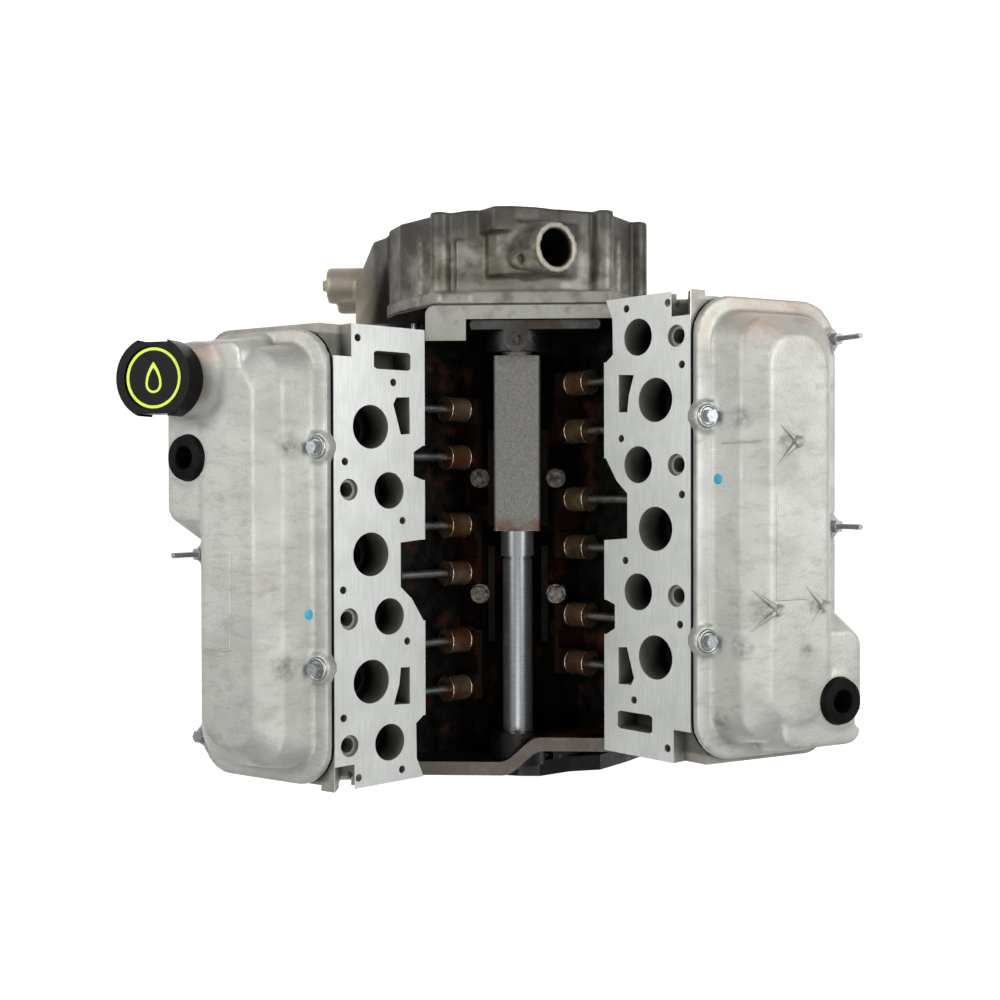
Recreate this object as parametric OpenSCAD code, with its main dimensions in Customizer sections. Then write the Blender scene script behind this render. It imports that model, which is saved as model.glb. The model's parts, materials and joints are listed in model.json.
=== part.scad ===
/* [Cylinders] */
// Cylinder bore diameter
bore_d = 96.8; // [92:0.2:99]
// Distance between neighbouring bores of one bank
bore_pitch = 106.4; // [104:0.2:110]
// Crank stroke
stroke = 95; // [85:1:97]
// Connecting rod length, centre to centre
rod_len = 152; // [150:0.5:155]
// Height of the block deck above the crank axis, along a bore
deck_h = 234; // [230:0.5:238]
// How far the right bank sits ahead of the left one
bank_offset = 23.8; // [22:0.2:26]

/* [Block] */
// Length of the block from the bell housing face to the front cover face
block_len = 426; // [422:1:440]
// Height of the pan rail below the crank axis
skirt_z = 52; // [48:1:60]
// Half width of the skirt at the pan rail
skirt_x = 118; // [114:1:126]
// Width of a cylinder bank across its deck
bank_w = 132; // [128:1:138]
// Height of the machined end walls of the valley
china_z = 222; // [218:1:226]
// Thickness of the end walls of the valley
china_t = 12; // [10:0.5:16]
// Thickness of the bell housing flange
bell_t = 14; // [10:1:14]

/* [Heads] */
// Length of a cylinder head
head_len = 385; // [380:1:390]
// Head gasket thickness
gasket_t = 1.6; // [1:0.1:2.4]
// Distance of the intake face from the bore axes
intake_v = 126.5; // [122:0.5:130]
// Height of the inner edge of the cover rail above the crank axis, along a bore
rail_u = 331; // [328:0.5:336]
// Angle between the valves and the bore axes
valve_tilt = 15; // [14:0.5:16]
// Width of the cover rail
rail_w = 142; // [138:1:146]
// Diameter of the larger, outer intake ports
port_big_d = 36.7; // [33:0.1:38]
// Diameter of the smaller, inner intake ports
port_small_d = 31; // [28:0.1:34]
// Depth of the rocker box below the cover rail
box_depth = 32; // [28:1:36]
// Lever ratio of the rockers
rocker_ratio = 1.73; // [1.5:0.01:1.9]

/* [Covers] */
// Wall thickness of a cast valve cover
cover_wall = 4; // [3:0.5:6]
// Thickness of a valve cover's flange
cover_flange = 8; // [6:0.5:10]
// Height of a valve cover above its rail
cover_h = 52; // [48:1:58]
// Bore diameter of the breather grommets
grommet_d = 19; // [16:0.5:24]
// Outer diameter of the breather grommets
grommet_od = 39.5; // [36:0.5:44]
// Diameter of the oil filler cap
cap_d = 67; // [62:1:70]
// Height of the oil filler cap
cap_h = 22; // [18:1:26]

/* [Valve gear] */
// Diameter of a lifter
lifter_d = 22.2; // [20:0.1:24]
// Diameter of a pushrod
pushrod_d = 8; // [7:0.2:9]
// Half distance between the two lifters of a cylinder
lifter_y = 22; // [20:0.5:23]
// Base circle radius of the cam lobes
lobe_base = 18.8; // [17:0.1:20]
// Nose radius of the cam lobes, from the shaft axis
lobe_nose = 25.5; // [22:0.1:25.8]
// Radius of the cam journals
cam_journal_r = 26; // [25.9:0.1:27]
// Diameter of an intake valve head
intake_valve_d = 42; // [38:0.5:43]
// Diameter of an exhaust valve head
exhaust_valve_d = 37; // [34:0.5:40]
// Diameter of a valve stem
stem_d = 7; // [6:0.2:8]

/* [Timing drive] */
// Chain pitch
chain_pitch = 9.525; // [9.5:0.005:9.6]
// Roller diameter of the chain
roller_d = 6.2; // [5.6:0.1:6.4]
// Module of the balance shaft gears
gear_m = 2; // [1.95:0.01:2.05]
// Width of the timing gears
gear_w = 12; // [10:0.5:13]

/* [Crankshaft] */
// Main journal diameter
main_d = 63.5; // [60:0.5:66]
// Crank pin diameter
pin_d = 57; // [54:0.5:58]
// Outer radius of the counterweights
weight_r = 74; // [70:0.5:76]
// Diameter of the flywheel flange
flange_d = 84; // [80:1:90]
// Diameter of the pilot bore in the flange
pilot_d = 40; // [36:0.5:44]
// Bolt circle of the flywheel bolts
flange_pcd = 62; // [60:1:64]
// Diameter of the front snout
snout_d = 38; // [34:0.5:40]
// Reach of the snout beyond the front cover
snout_out = 34; // [28:1:38]

/* [Balance shaft] */
// Diameter of the polished shaft
balance_d = 27; // [25:0.5:28]
// Width of the flat counterweight bar
bar_w = 42; // [38:0.5:44]
// Thickness of the flat counterweight bar
bar_t = 22; // [18:0.5:24]

/* [Front cover] */
// Depth of the front cover
front_depth = 85; // [82:1:88]
// Wall thickness of the front cover
front_wall = 6; // [5:0.5:8]
// Bore of the synchroniser tower
sync_d = 32.3; // [30:0.1:34]
// Outer diameter of the synchroniser tower
sync_od = 44.5; // [42:0.5:48]

/* [Oil pan] */
// Depth of the sump floor below the crank axis
sump_z = 190; // [180:1:200]
// Sheet thickness of the oil pan
pan_t = 2; // [1.5:0.1:3]

/* [Fits] */
// Radial running clearance of shafts and pistons
run_gap = 0.05; // [0.03:0.01:0.08]
// Radial clearance of bolts in their holes
bolt_gap = 0.3; // [0.2:0.05:0.5]
// Side clearance between moving pieces
side_gap = 0.4; // [0.3:0.05:0.6]

/* [Hidden] */
$fn = 48;

LEFT = -1;
RIGHT = 1;
bank_half = 45;
chain_links = 52;
crank_teeth = 18;
cam_teeth = 2 * crank_teeth;
balance_teeth = 23;
drive_teeth = 2 * balance_teeth;
mid_y = 220;
r_bore = bore_d / 2;
throw = stroke / 2;
eps = 0.01;
cylinders = [-1, 0, 1];
mains = [-1.5, -0.5, 0.5, 1.5];
head_u = deck_h + gasket_t;
span = 2 * chain_links - cam_teeth - crank_teeth;
cam_z = chain_pitch / 8 * (span + sqrt(span * span - 8 / (PI * PI) * pow(cam_teeth - crank_teeth, 2)));
balance_z = cam_z + gear_m * (drive_teeth + balance_teeth) / 2;
lifter_v = cam_z * sin(bank_half);
bank_x = bank_w / 2;

metal_dark = "#141414";
metal_head = "#c9cbc9";
metal_cover = "#b9bab4";
metal_front = "#6f6c63";
metal_steel = "#9a9a98";
metal_brown = "#3a2a20";
metal_zinc = "#b4b6b8";
rubber = "#1b1b1b";

// A frame whose x points outward from the bores, y ahead and z up along the bores
module bank(side) {
  translate([0, mid_y, 0])
    rotate([0, 0, side == RIGHT ? 0 : 180])
      translate([0, bank_offset / 2, 0])
        rotate([0, bank_half, 0])
          children();
}

// A frame on the cover rail: x across the rail from its inner edge, z along the valves
module rail(side) {
  bank(side)
    translate([-intake_v, 0, rail_u])
      rotate([0, -valve_tilt, 0])
        children();
}

module both_banks() {
  for (side = [LEFT, RIGHT])
    bank(side)
      children();
}

module both_rails() {
  for (side = [LEFT, RIGHT])
    rail(side)
      children();
}

// A cylinder along Y, from y0 over length l
module rod_y(r, y0, l, x = 0, z = 0) {
  translate([x, y0, z])
    rotate([-90, 0, 0])
      cylinder(r = r, h = l);
}

// An (x, z) outline drawn out along Y, from y0 over length l
module slab_y(y0, l) {
  translate([0, y0 + l, 0])
    rotate([90, 0, 0])
      linear_extrude(l)
        children();
}

// A cylinder from point a to point b
module link_rod(a, b, r) {
  d = b - a;
  l = norm(d);
  translate(a)
    rotate([0, acos(d[2] / l), atan2(d[1], d[0])])
      cylinder(r = r, h = l);
}

// A rectangle with round corners, from its lower left corner
module round_rect(w, h, r) {
  translate([r, 0])
    square([w - 2 * r, h]);
  translate([0, r])
    square([w, h - 2 * r]);
  for (x = [r, w - r], y = [r, h - r])
    translate([x, y])
      circle(r);
}

// A washer-faced hexagon bolt, its seat at z = 0 and its shank below
module hex_bolt(head_r, head_h, shank_r, shank_l) {
  cylinder(r = head_r * 1.25, h = 1.6);
  translate([0, 0, 1.6])
    cylinder(r = head_r, h = head_h, $fn = 6);
  translate([0, 0, -shank_l])
    cylinder(r = shank_r, h = shank_l);
}

function mirrored(half) = concat(half, [for (i = [len(half) - 1:-1:0]) [-half[i][0], half[i][1]]]);
function bank_xz(u, v) = [u * sin(bank_half) - v * cos(bank_half), u * cos(bank_half) + v * sin(bank_half)];

tunnel_r = cam_journal_r + 2.5;
main_r = main_d / 2;
pin_r = pin_d / 2;
cheek = 2.5;
skirt_r = max(weight_r, throw + pin_r + cheek) + 5.5;
shell_t = 2.4;
cap_w = 124;
cap_t = 24;
cap_bolt_x = 48;
cap_bolt_r = 6;
head_bolt_x = 54;
head_bolt_r = 6;
head_bolt_deep = 58;
front_y = block_len;
bay_end = mid_y - 1.5 * bore_pitch - cap_t / 2 - 1;
balance_front = mid_y + 167;
balance_rear = mid_y - 192;
step_left = 9;
step_right = 31;
boss_u = 145;
boss_v = lifter_v + 17.5;
retainer_y = [mid_y - bore_pitch / 2, mid_y + bore_pitch / 2];
retainer_x = 35;

// Half outline of the block behind the front face, above the pan rail
block_half = [
  [skirt_x, -skirt_z],
  [bank_xz(120, -bank_x)[0], bank_xz(120, -bank_x)[1]],
  bank_xz(deck_h * 0.55, -bank_x),
  bank_xz(deck_h * 0.55, bank_x),
  bank_xz(boss_u, bank_x),
  bank_xz(boss_u, boss_v),
  bank_xz(112, boss_v)
];

// Places of the oil pan's bolts, in the block and then in the front cover
module pan_places(in_block, in_cover) {
  if (in_block)
    for (side = [LEFT, RIGHT], y = [30:61:block_len - 20])
      translate([side * (skirt_x + 4), y, -skirt_z])
        children();
  if (in_cover)
    for (side = [LEFT, RIGHT])
      translate([side * (skirt_x - 7), front_y + 45, -skirt_z])
        children();
}

bell_half = [
  [150, -skirt_z], [178, 10], [170, 58], [132, 84], [116, 90], [102, 114], [76, 151], [47, 160],
  [20, 181], [0, 181]
];

module bell_flange() {
  slab_y(0, bell_t)
    polygon(concat(
      bell_half, [[-40, 170], [-70, 168], [-110, 140], [-160, 100], [-182, 60], [-178, 10],
        [-150, -skirt_z]]
    ));
}

bell_bolts = [[144, -32], [160, 24], [88, 114], [8, 168], [-56, 154], [-140, 96], [-166, 24], [-144, -32]];

// Rear wall of the valley, which steps from the left head's end to the right one's
step_points = [for (i = [0:8])
  [-12 + 4.5 * i, (step_left + step_right) / 2 - (step_right - step_left) / 2 * cos(i * 22.5)]];

module rear_china_wall() {
  translate([0, 0, cam_z])
    linear_extrude(china_z - cam_z)
      polygon(concat(
        [[-98, step_left]], step_points, [[98, step_right], [98, step_right + china_t]],
        [for (i = [8:-1:0]) [step_points[i][0] - 3, step_points[i][1] + china_t]],
        [[-98, step_left + china_t]]));
}

// Front wall of the valley, with its wide round corner beside the left head
module front_china_wall() {
  corner = 8;
  pad = 31;
  translate([0, 0, cam_z])
    linear_extrude(china_z - cam_z)
      polygon(concat(
        [[98, front_y - china_t], [98, front_y]],
        [for (a = [90:15:180]) [corner * (cos(a) - 9), front_y + corner * (sin(a) - 1)]],
        [[-80, front_y - pad], [-44, front_y - pad], [-44, front_y - china_t]]));
}

module cylinder_bank() {
  translate([-bank_x, -head_len / 2, deck_h * 0.4])
    cube([bank_w, head_len, deck_h * 0.6]);
  translate([-boss_v, -head_len / 2 + 26, 82])
    cube([boss_v - bank_x + eps, head_len - 52, boss_u - 82]);
}

module bank_cuts() {
  for (k = cylinders) {
    translate([0, k * bore_pitch, 20])
      cylinder(r = r_bore, h = deck_h);
    for (s = [-1, 1])
      translate([-lifter_v, k * bore_pitch + s * lifter_y, cam_z * cos(bank_half) - 10])
        cylinder(r = lifter_d / 2 + run_gap, h = 100);
  }
  for (x = [-head_bolt_x, head_bolt_x], m = mains)
    translate([x, m * bore_pitch, deck_h - head_bolt_deep - 4])
      cylinder(r = head_bolt_r + bolt_gap, h = 80);
}

plug_r = 17;
plug_u = 168;

module core_plug_places() {
  both_banks()
    for (k = cylinders)
      translate([bank_x, k * bore_pitch, plug_u])
        rotate([0, 90, 0])
          children();
}

module bay_cut(k) {
  w = bore_pitch - cap_t - 2;
  rod_y(skirt_r, mid_y + k * bore_pitch - w / 2, w);
  translate([-skirt_r, mid_y + k * bore_pitch - w / 2, -skirt_z - 1])
    cube([2 * skirt_r, w, skirt_z + 1]);
}

module engine_block() {
  color(metal_dark)
    difference() {
      union() {
        slab_y(bell_t - eps, front_y - bell_t + eps)
          polygon(mirrored(block_half));
        bell_flange();
        both_banks()
          cylinder_bank();
        rear_china_wall();
        front_china_wall();
        for (side = [LEFT, RIGHT])
          translate([side > 0 ? skirt_x - 6 : -skirt_x - 12, bell_t, -skirt_z])
            cube([18, front_y - bell_t, 12]);
        rod_y(29.5, balance_front, 18, z = balance_z);
        translate([-24, balance_front, cam_z])
          cube([48, 18, balance_z - cam_z]);
        translate([-41, balance_front + 18, cam_z + 20])
          cube([116, front_y - balance_front - 18, plate_seat - cam_z - 20.1]);
        rod_y(25, balance_rear - 14, 30, z = balance_z);
        translate([-22, balance_rear - 14, cam_z])
          cube([44, 30, balance_z - cam_z]);
        translate([-40, bell_t - eps, cam_z])
          cube([80, balance_rear - bell_t - 10, 52]);
        for (y = retainer_y, x = [-retainer_x, retainer_x])
          translate([x, y, cam_z])
            cylinder(r = 9, h = boss_top - cam_z);
        engine_mount_bosses();
      }
      both_banks()
        bank_cuts();
      for (k = cylinders)
        bay_cut(k);
      translate([-cap_w / 2 - 0.2, bell_t + 34, -skirt_z - 1])
        cube([cap_w + 0.4, front_y - bell_t - 34 - 34, skirt_z + 1]);
      rod_y(main_r + shell_t, 30, front_y - 50);
      rod_y(flange_d / 2 + 2, 12, bay_end - 12);
      rod_y(seal_plate_r + 0.3, -1, 13);
      rod_y(snout_d / 2 + 6, front_y - 60, 70);
      rod_y(tunnel_r, bell_t, block_len, z = cam_z);
      rod_y(balance_d / 2 + bush_t, balance_rear - 8, 30, z = balance_z);
      rod_y(balance_d / 2 + bush_t, balance_front - 1, front_y - balance_front + 2, z = balance_z);
      for (m = mains, s = [-1, 1])
        translate([s * cap_bolt_x, mid_y + m * bore_pitch, -1])
          cylinder(r = cap_bolt_r + bolt_gap, h = 66);
      for (y = retainer_y, x = [-retainer_x, retainer_x])
        translate([x, y, boss_top - 26]) {
          cylinder(r = valley_bolt_r + bolt_gap, h = 30);
          translate([-9.5, -8.5, 26])
            cube([19, 17, 12]);
        }
      for (b = bell_bolts)
        rod_y(5.5, -1, bell_t + 2, b[0], b[1]);
      core_plug_places()
        translate([0, 0, -4])
          cylinder(r = plug_r + run_gap, h = 6);
      for (b = front_bolts)
        rod_y(front_bolt_r + bolt_gap, front_y - 22, 24, b[0], b[1]);
      for (b = thrust_bolts)
        rod_y(3 + bolt_gap, front_y - 14, 16, b[0], b[1]);
      translate([0, balance_front + 9.6, balance_z + 20])
        cylinder(r = plate_bolt_r + bolt_gap, h = 20);
      pan_places(true, false)
        translate([0, 0, -1])
          cylinder(r = 3.3, h = 11);
      mount_holes();
    }
}

boss_top = 170;
bush_t = 3;
seal_plate_r = 74;
valley_bolt_r = 4;
front_bolt_r = 4;
thrust_bolts = [[-38, cam_z], [38, cam_z]];
mount_x = 148;
mount_y = [150, 250];
mount_z = [-20, 30];
mount_bolt_r = 5;

module engine_mount_bosses() {
  for (side = [LEFT, RIGHT])
    translate([side > 0 ? skirt_x - 4 : -mount_x, mount_y[0] - 14, mount_z[0] - 12])
      cube([mount_x - skirt_x + 4, mount_y[1] - mount_y[0] + 28, mount_z[1] - mount_z[0] + 24]);
}

module mount_holes() {
  for (side = [LEFT, RIGHT], y = mount_y, z = mount_z)
    translate([side * mount_x, y, z])
      rotate([0, 90 * side, 0])
        translate([0, 0, -20])
          cylinder(r = mount_bolt_r, h = 24);
}

module core_plugs() {
  color(metal_zinc)
    core_plug_places()
      translate([0, 0, -4])
        difference() {
          cylinder(r = plug_r, h = 3.5);
          translate([0, 0, 1.2])
            cylinder(r = plug_r - 1.6, h = 4);
        }
}

module main_caps() {
  color(metal_dark)
    for (m = mains)
      difference() {
        slab_y(mid_y + m * bore_pitch - cap_t / 2 + 1, cap_t - 2)
          polygon([[-cap_w / 2, -0.1], [-cap_w / 2, -26], [-34, -58], [34, -58],
            [cap_w / 2, -26], [cap_w / 2, -0.1]]);
        rod_y(main_r + shell_t, mid_y + m * bore_pitch - cap_t, 2 * cap_t);
        for (s = [-1, 1])
          translate([s * cap_bolt_x, mid_y + m * bore_pitch, -70]) {
            cylinder(r = cap_bolt_r + bolt_gap, h = 80);
            cylinder(r = 12, h = 70 - 30);
          }
      }
}

module main_cap_bolts() {
  color(metal_steel)
    for (m = mains, s = [-1, 1])
      translate([s * cap_bolt_x, mid_y + m * bore_pitch, -30])
        mirror([0, 0, 1])
          hex_bolt(8, 9, cap_bolt_r, 90);
}

module main_bearings() {
  color("#b8b2a2")
    for (m = mains, half = [0, 180])
      difference() {
        rod_y(main_r + shell_t, mid_y + m * bore_pitch - cap_t / 2 + 1, cap_t - 2);
        rod_y(main_r + run_gap, mid_y + m * bore_pitch - cap_t, 2 * cap_t);
        rotate([0, half, 0])
          translate([-50, mid_y + m * bore_pitch - cap_t, -50])
            cube([100, 2 * cap_t, 50]);
      }
}

base_angles = [60, -60, 180];
split = 15;
crank_rear = -8;
snout_end = front_y + front_depth + snout_out;
snout_r = snout_d / 2;
key_w = 5;

function throw_at(a) = [throw * sin(a), throw * cos(a)];

// One crank web: a cheek round the journal and the pin, and a sector opposite
module web_shape(a) {
  p = throw_at(a);
  circle(main_r + 5);
  translate(p)
    circle(pin_r + cheek);
  rotate(-a)
    polygon([[-main_r - 3, 0], [-pin_r - 4, throw], [pin_r + 4, throw], [main_r + 3, 0]]);
  rotate(-a)
    intersection() {
      circle(weight_r);
      polygon([[-12 - main_r, 4], [-weight_r, -34], [-weight_r, -weight_r - 1],
        [weight_r, -weight_r - 1], [weight_r, -34], [12 + main_r, 4]]);
    }
}

module crank_throw(yc, base) {
  pin_end = bank_offset / 2 + 11;
  web_end = (bore_pitch - cap_t) / 2 - 1 - side_gap;
  for (s = [LEFT, RIGHT])
    let (p = throw_at(base - s * split))
      rod_y(pin_r, s > 0 ? yc + 0.9 : yc - pin_end, pin_end - 0.9, p[0], p[1]);
  slab_y(yc - 0.9 - eps, 1.8 + 2 * eps)
    for (s = [LEFT, RIGHT])
      translate(throw_at(base - s * split))
        circle(pin_r + cheek - 0.5);
  for (s = [LEFT, RIGHT])
    slab_y(s > 0 ? yc + pin_end - eps : yc - web_end, web_end - pin_end + eps)
      web_shape(base - s * split);
}

module crankshaft() {
  color(metal_steel)
    difference() {
      union() {
        rod_y(flange_d / 2, crank_rear, 28);
        rod_y(main_r + 4, 18, bay_end - side_gap - 18);
        for (m = mains)
          rod_y(main_r, mid_y + m * bore_pitch - cap_t / 2 - 2, cap_t + 4);
        for (i = [0:2])
          crank_throw(mid_y + (1 - i) * bore_pitch, base_angles[i]);
        let (nose_y = mid_y + 1.5 * bore_pitch + cap_t / 2)
          rod_y(snout_r + 4, nose_y, front_y - nose_y);
        rod_y(snout_r, front_y - 10, front_depth + 14);
        rod_y(snout_r - 0.5, front_y1, snout_out);
      }
      rod_y(pilot_d / 2, crank_rear - 1, 21);
      for (i = [0:5])
        rotate([0, 60 * i, 0])
          rod_y(5, crank_rear - 1, 25, flange_pcd / 2);
      rod_y(7, snout_end - 40, 42);
      translate([-key_w / 2, sprocket_y - 6, snout_r - 3])
        cube([key_w, snout_end - sprocket_y - 4, 4]);
    }
}

sprocket_y = front_y + 21;
sprocket_w = 5;
gear_y = front_y + 6;

module crank_key() {
  color(metal_zinc)
    translate([-key_w / 2 + 0.05, sprocket_y - 5.5, snout_r - 2.9])
      cube([key_w - 0.1, sprocket_w + 10, 5.4]);
}

// Toothed rim of a roller chain sprocket: straight flanks between round roller seats
function sprocket_r(n) = chain_pitch / 2 / sin(180 / n);
module sprocket_shape(n, phase = 0) {
  seat = roller_d / 2 + 0.2;
  difference() {
    polygon([for (i = [0:n - 1], q = [-0.17, -0.06, 0.06, 0.17])
      (sprocket_r(n) + (abs(q) < 0.1 ? chain_pitch * 0.28 : 0))
        * [sin(phase + (i + 0.5 + q) * 360 / n), cos(phase + (i + 0.5 + q) * 360 / n)]]);
    for (i = [0:n - 1])
      rotate(-(phase + i * 360 / n))
        translate([0, sprocket_r(n)])
          circle(seat, $fn = 24);
  }
}

module crank_sprocket() {
  color(metal_steel)
    difference() {
      union() {
        slab_y(sprocket_y, sprocket_w)
          sprocket_shape(crank_teeth, 180);
        rod_y(snout_r + 3, sprocket_y - 5, sprocket_w + 10);
      }
      rod_y(snout_r + 0.02, sprocket_y - 8, sprocket_w + 20);
      translate([-key_w / 2 - 0.05, sprocket_y - 8, 0])
        cube([key_w + 0.1, sprocket_w + 20, snout_r + 2.6]);
    }
}

seal_w = 9;

module rear_seal_retainer() {
  color(metal_cover)
    difference() {
      rod_y(seal_plate_r, 2, 10);
      rod_y(flange_d / 2 + 8, 1, 12);
      translate([-seal_plate_r, 0, -skirt_z - seal_plate_r])
        cube([2 * seal_plate_r, 20, seal_plate_r]);
    }
}

module rear_seal() {
  color(rubber)
    difference() {
      rod_y(flange_d / 2 + 8, 2.5, seal_w);
      rod_y(flange_d / 2 + run_gap, 1, seal_w + 4);
    }
}

cam_journals = [balance_rear + 2, mid_y - bore_pitch / 2, mid_y + bore_pitch / 2, balance_front + 10];
journal_w = 15.4;
lobe_w = 15;
cam_front = front_y + 5.5;

// Crank degrees until each cylinder fires, by bank and by place from the rear
function fire_at(side, k) = side == RIGHT ? [480, 240, 0][k + 1] : [600, 360, 120][k + 1];
function lobe_r(a) =
  lobe_base + (abs(a) < 60 ? (lobe_nose - lobe_base) * pow(cos(a * 1.5), 1.4) : 0);

module lobe(angle, y) {
  slab_y(y - lobe_w / 2, lobe_w)
    translate([0, cam_z])
      polygon([for (i = [0:35])
        let (a = i * 10, off = a > 180 ? a - 360 : a)
          lobe_r(off) * [sin(a + angle), cos(a + angle)]]);
}

module camshaft() {
  color(metal_steel)
    difference() {
      union() {
        rod_y(14, balance_rear - 6, cam_front - balance_rear + 6, z = cam_z);
        for (y = cam_journals)
          rod_y(cam_journal_r, y - journal_w / 2, journal_w, z = cam_z);
        for (side = [LEFT, RIGHT], k = cylinders, s = [-1, 1])
          let (exhaust = s * side < 0,
            angle = side * bank_half + (fire_at(side, k) + (exhaust ? 250 : 466)) / 2)
            lobe(angle, mid_y + side * bank_offset / 2 + k * bore_pitch + s * lifter_y);
        rod_y(14, cam_front, sprocket_y + sprocket_w - cam_front + 1, z = cam_z);
      }
      rod_y(5, cam_front, sprocket_y, z = cam_z);
    }
}

module cam_bearings() {
  color("#b8b2a2")
    for (y = cam_journals)
      difference() {
        rod_y(tunnel_r, y - journal_w / 2, journal_w, z = cam_z);
        rod_y(cam_journal_r + run_gap, y - journal_w, 2 * journal_w, z = cam_z);
      }
}

module cam_thrust_plate() {
  color(metal_steel)
    difference() {
      slab_y(front_y, 5) {
        translate([0, cam_z])
          circle(34);
        translate([-46, cam_z - 9])
          square([92, 18]);
      }
      rod_y(14.4, front_y - 1, 8, z = cam_z);
      for (b = thrust_bolts)
        rod_y(3 + bolt_gap, front_y - 1, 8, b[0], b[1]);
    }
}

// Involute gear outline: n teeth of module m, with a tooth at the top when phase is 0
function involute(r, rb) = let (a = acos(min(1, rb / r))) tan(a) * 180 / PI - a;
function tooth_half(n, m, r) =
  let (rp = n * m / 2, rb = rp * cos(20))
    90 / n - 0.08 / rp * 180 / PI + involute(rp, rb) - involute(max(r, rb), rb);
function gear_outline(n, m, phase, add = 0.95) =
  let (root = n * m / 2 - 1.25 * m, tall = (1.25 + add) * m)
    [for (i = [0:n - 1], j = [-4:5])
      let (r = root + tall * (j < 1 ? 4 + j : 5 - j) / 4,
        half = tooth_half(n, m, r),
        a = phase + i * 360 / n + (j < 1 ? -half : half))
        r * [sin(a), cos(a)]];

module gear_y(n, m, y0, l, x, z, phase, add = 0.95) {
  slab_y(y0, l)
    translate([x, z])
      polygon(gear_outline(n, m, phase, add));
}

module balance_drive_gear() {
  color(metal_steel)
    difference() {
      union() {
        gear_y(drive_teeth, gear_m, gear_y, gear_w, 0, cam_z, 0);
        rod_y(20, gear_y - 0.6, sprocket_y - gear_y + 0.6, z = cam_z);
      }
      rod_y(14.02, gear_y - 2, 40, z = cam_z);
      for (i = [0:5])
        rotate_about(0, cam_z, 60 * i)
          rod_y(7, gear_y - 1, gear_w + 2, 0, cam_z + 31);
    }
}

module rotate_about(x, z, a) {
  translate([x, 0, z])
    rotate([0, a, 0])
      translate([-x, 0, -z])
        children();
}

module cam_sprocket() {
  color(metal_steel)
    difference() {
      slab_y(sprocket_y, sprocket_w)
        translate([0, cam_z])
          sprocket_shape(cam_teeth);
      rod_y(14.02, sprocket_y - 1, sprocket_w + 2, z = cam_z);
      for (i = [0:4])
        rotate_about(0, cam_z, 72 * i)
          rod_y(9, sprocket_y - 1, sprocket_w + 2, 0, cam_z + 33);
    }
}

// Places along the chain, counted in links from the top of the cam sprocket round to the crank
cam_pr = sprocket_r(cam_teeth);
crank_pr = sprocket_r(crank_teeth);
lean = asin((cam_pr - crank_pr) / cam_z);
cam_wrap = (90 + lean) * cam_teeth / 360;
crank_wrap = (90 - lean) * crank_teeth / 360;
straight = chain_links / 2 - cam_wrap - crank_wrap;
function half_chain(t) =
  t < cam_wrap ? [cam_pr * sin(t * 360 / cam_teeth), cam_z + cam_pr * cos(t * 360 / cam_teeth)]
  : t > cam_wrap + straight ?
    let (a = 180 - (chain_links / 2 - t) * 360 / crank_teeth) crank_pr * [sin(a), cos(a)]
  : let (f = (t - cam_wrap) / straight, a = 90 + lean)
    (1 - f) * [cam_pr * sin(a), cam_z + cam_pr * cos(a)] + f * crank_pr * [sin(a), cos(a)];
function chain_at(t) =
  let (u = t % chain_links)
    u <= chain_links / 2 ? half_chain(u)
    : let (p = half_chain(chain_links - u)) [-p[0], p[1]];

plate_r = 4.1;
plate_t = 1;
roller_l = sprocket_w + 0.8;
chain_y = sprocket_y + sprocket_w / 2;

module link_plate(a, b) {
  n = plate_r * 0.8 * [b[1] - a[1], a[0] - b[0]] / norm(b - a);
  translate(a)
    circle(plate_r, $fn = 20);
  translate(b)
    circle(plate_r, $fn = 20);
  polygon([a + n, b + n, b - n, a - n]);
}

module timing_chain() {
  color(metal_steel)
    for (i = [0:chain_links - 1]) {
      a = chain_at(i);
      b = chain_at(i + 1);
      inner = i % 2 == 0;
      gap = roller_l / 2 + (inner ? 0 : plate_t + 0.1);
      difference() {
        union() {
          for (s = [-1, 1])
            slab_y(chain_y + s * (gap + plate_t / 2) - plate_t / 2, plate_t)
              link_plate(a, b);
          for (p = [a, b])
            if (inner)
              rod_y(roller_d / 2, chain_y - roller_l / 2, roller_l, p[0], p[1], $fn = 20);
            else
              rod_y(1.5, chain_y - gap - plate_t, 2 * gap + 2 * plate_t, p[0], p[1], $fn = 14);
        }
        if (inner)
          for (p = [a, b])
            rod_y(1.6, chain_y - 9, 18, p[0], p[1], $fn = 14);
      }
    }
}

module chain_guide() {
  a = chain_at(-cam_wrap - 1.5 + chain_links);
  b = chain_at(-cam_wrap - straight + 1.5 + chain_links);
  d = (b - a) / norm(b - a);
  n = [d[1], -d[0]];
  out = n[0] < 0 ? n : -n;
  near = plate_r + 0.4;
  color("#2c2a26") {
    slab_y(chain_y - 4, 8)
      polygon([a + out * near, b + out * near, b + out * (near + 7), a + out * (near + 7)]);
    for (p = [a, b])
      let (c = p + (b + a - 2 * p) * 0.12 + out * (near + 5))
        difference() {
          rod_y(5, front_y, chain_y + 4 - front_y, c[0], c[1]);
          rod_y(2.5, front_y - 1, 60, c[0], c[1]);
        }
  }
}

bar_y0 = 225.5;
bar_y1 = balance_front - 3;

module balance_shaft() {
  color(metal_steel)
    difference() {
      union() {
        rod_y(balance_d / 2, balance_rear - 6, bar_y0 - balance_rear + 6, z = balance_z);
        rod_y(balance_d / 2 + 1.6, bar_y0 - 23, 23 + eps, z = balance_z);
        slab_y(bar_y0, bar_y1 - bar_y0)
          translate([-bar_w / 2, balance_z - bar_t / 2])
            round_rect(bar_w, bar_t, 3);
        rod_y(balance_d / 2, bar_y1 - eps, gear_y + gear_w - bar_y1 + eps, z = balance_z);
      }
      difference() {
        rod_y(balance_d / 2 + 3, bar_y0 - 26, 3, z = balance_z);
        rod_y(balance_d / 2 - 1.2, bar_y0 - 28, 8, z = balance_z);
      }
    }
}

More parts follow.
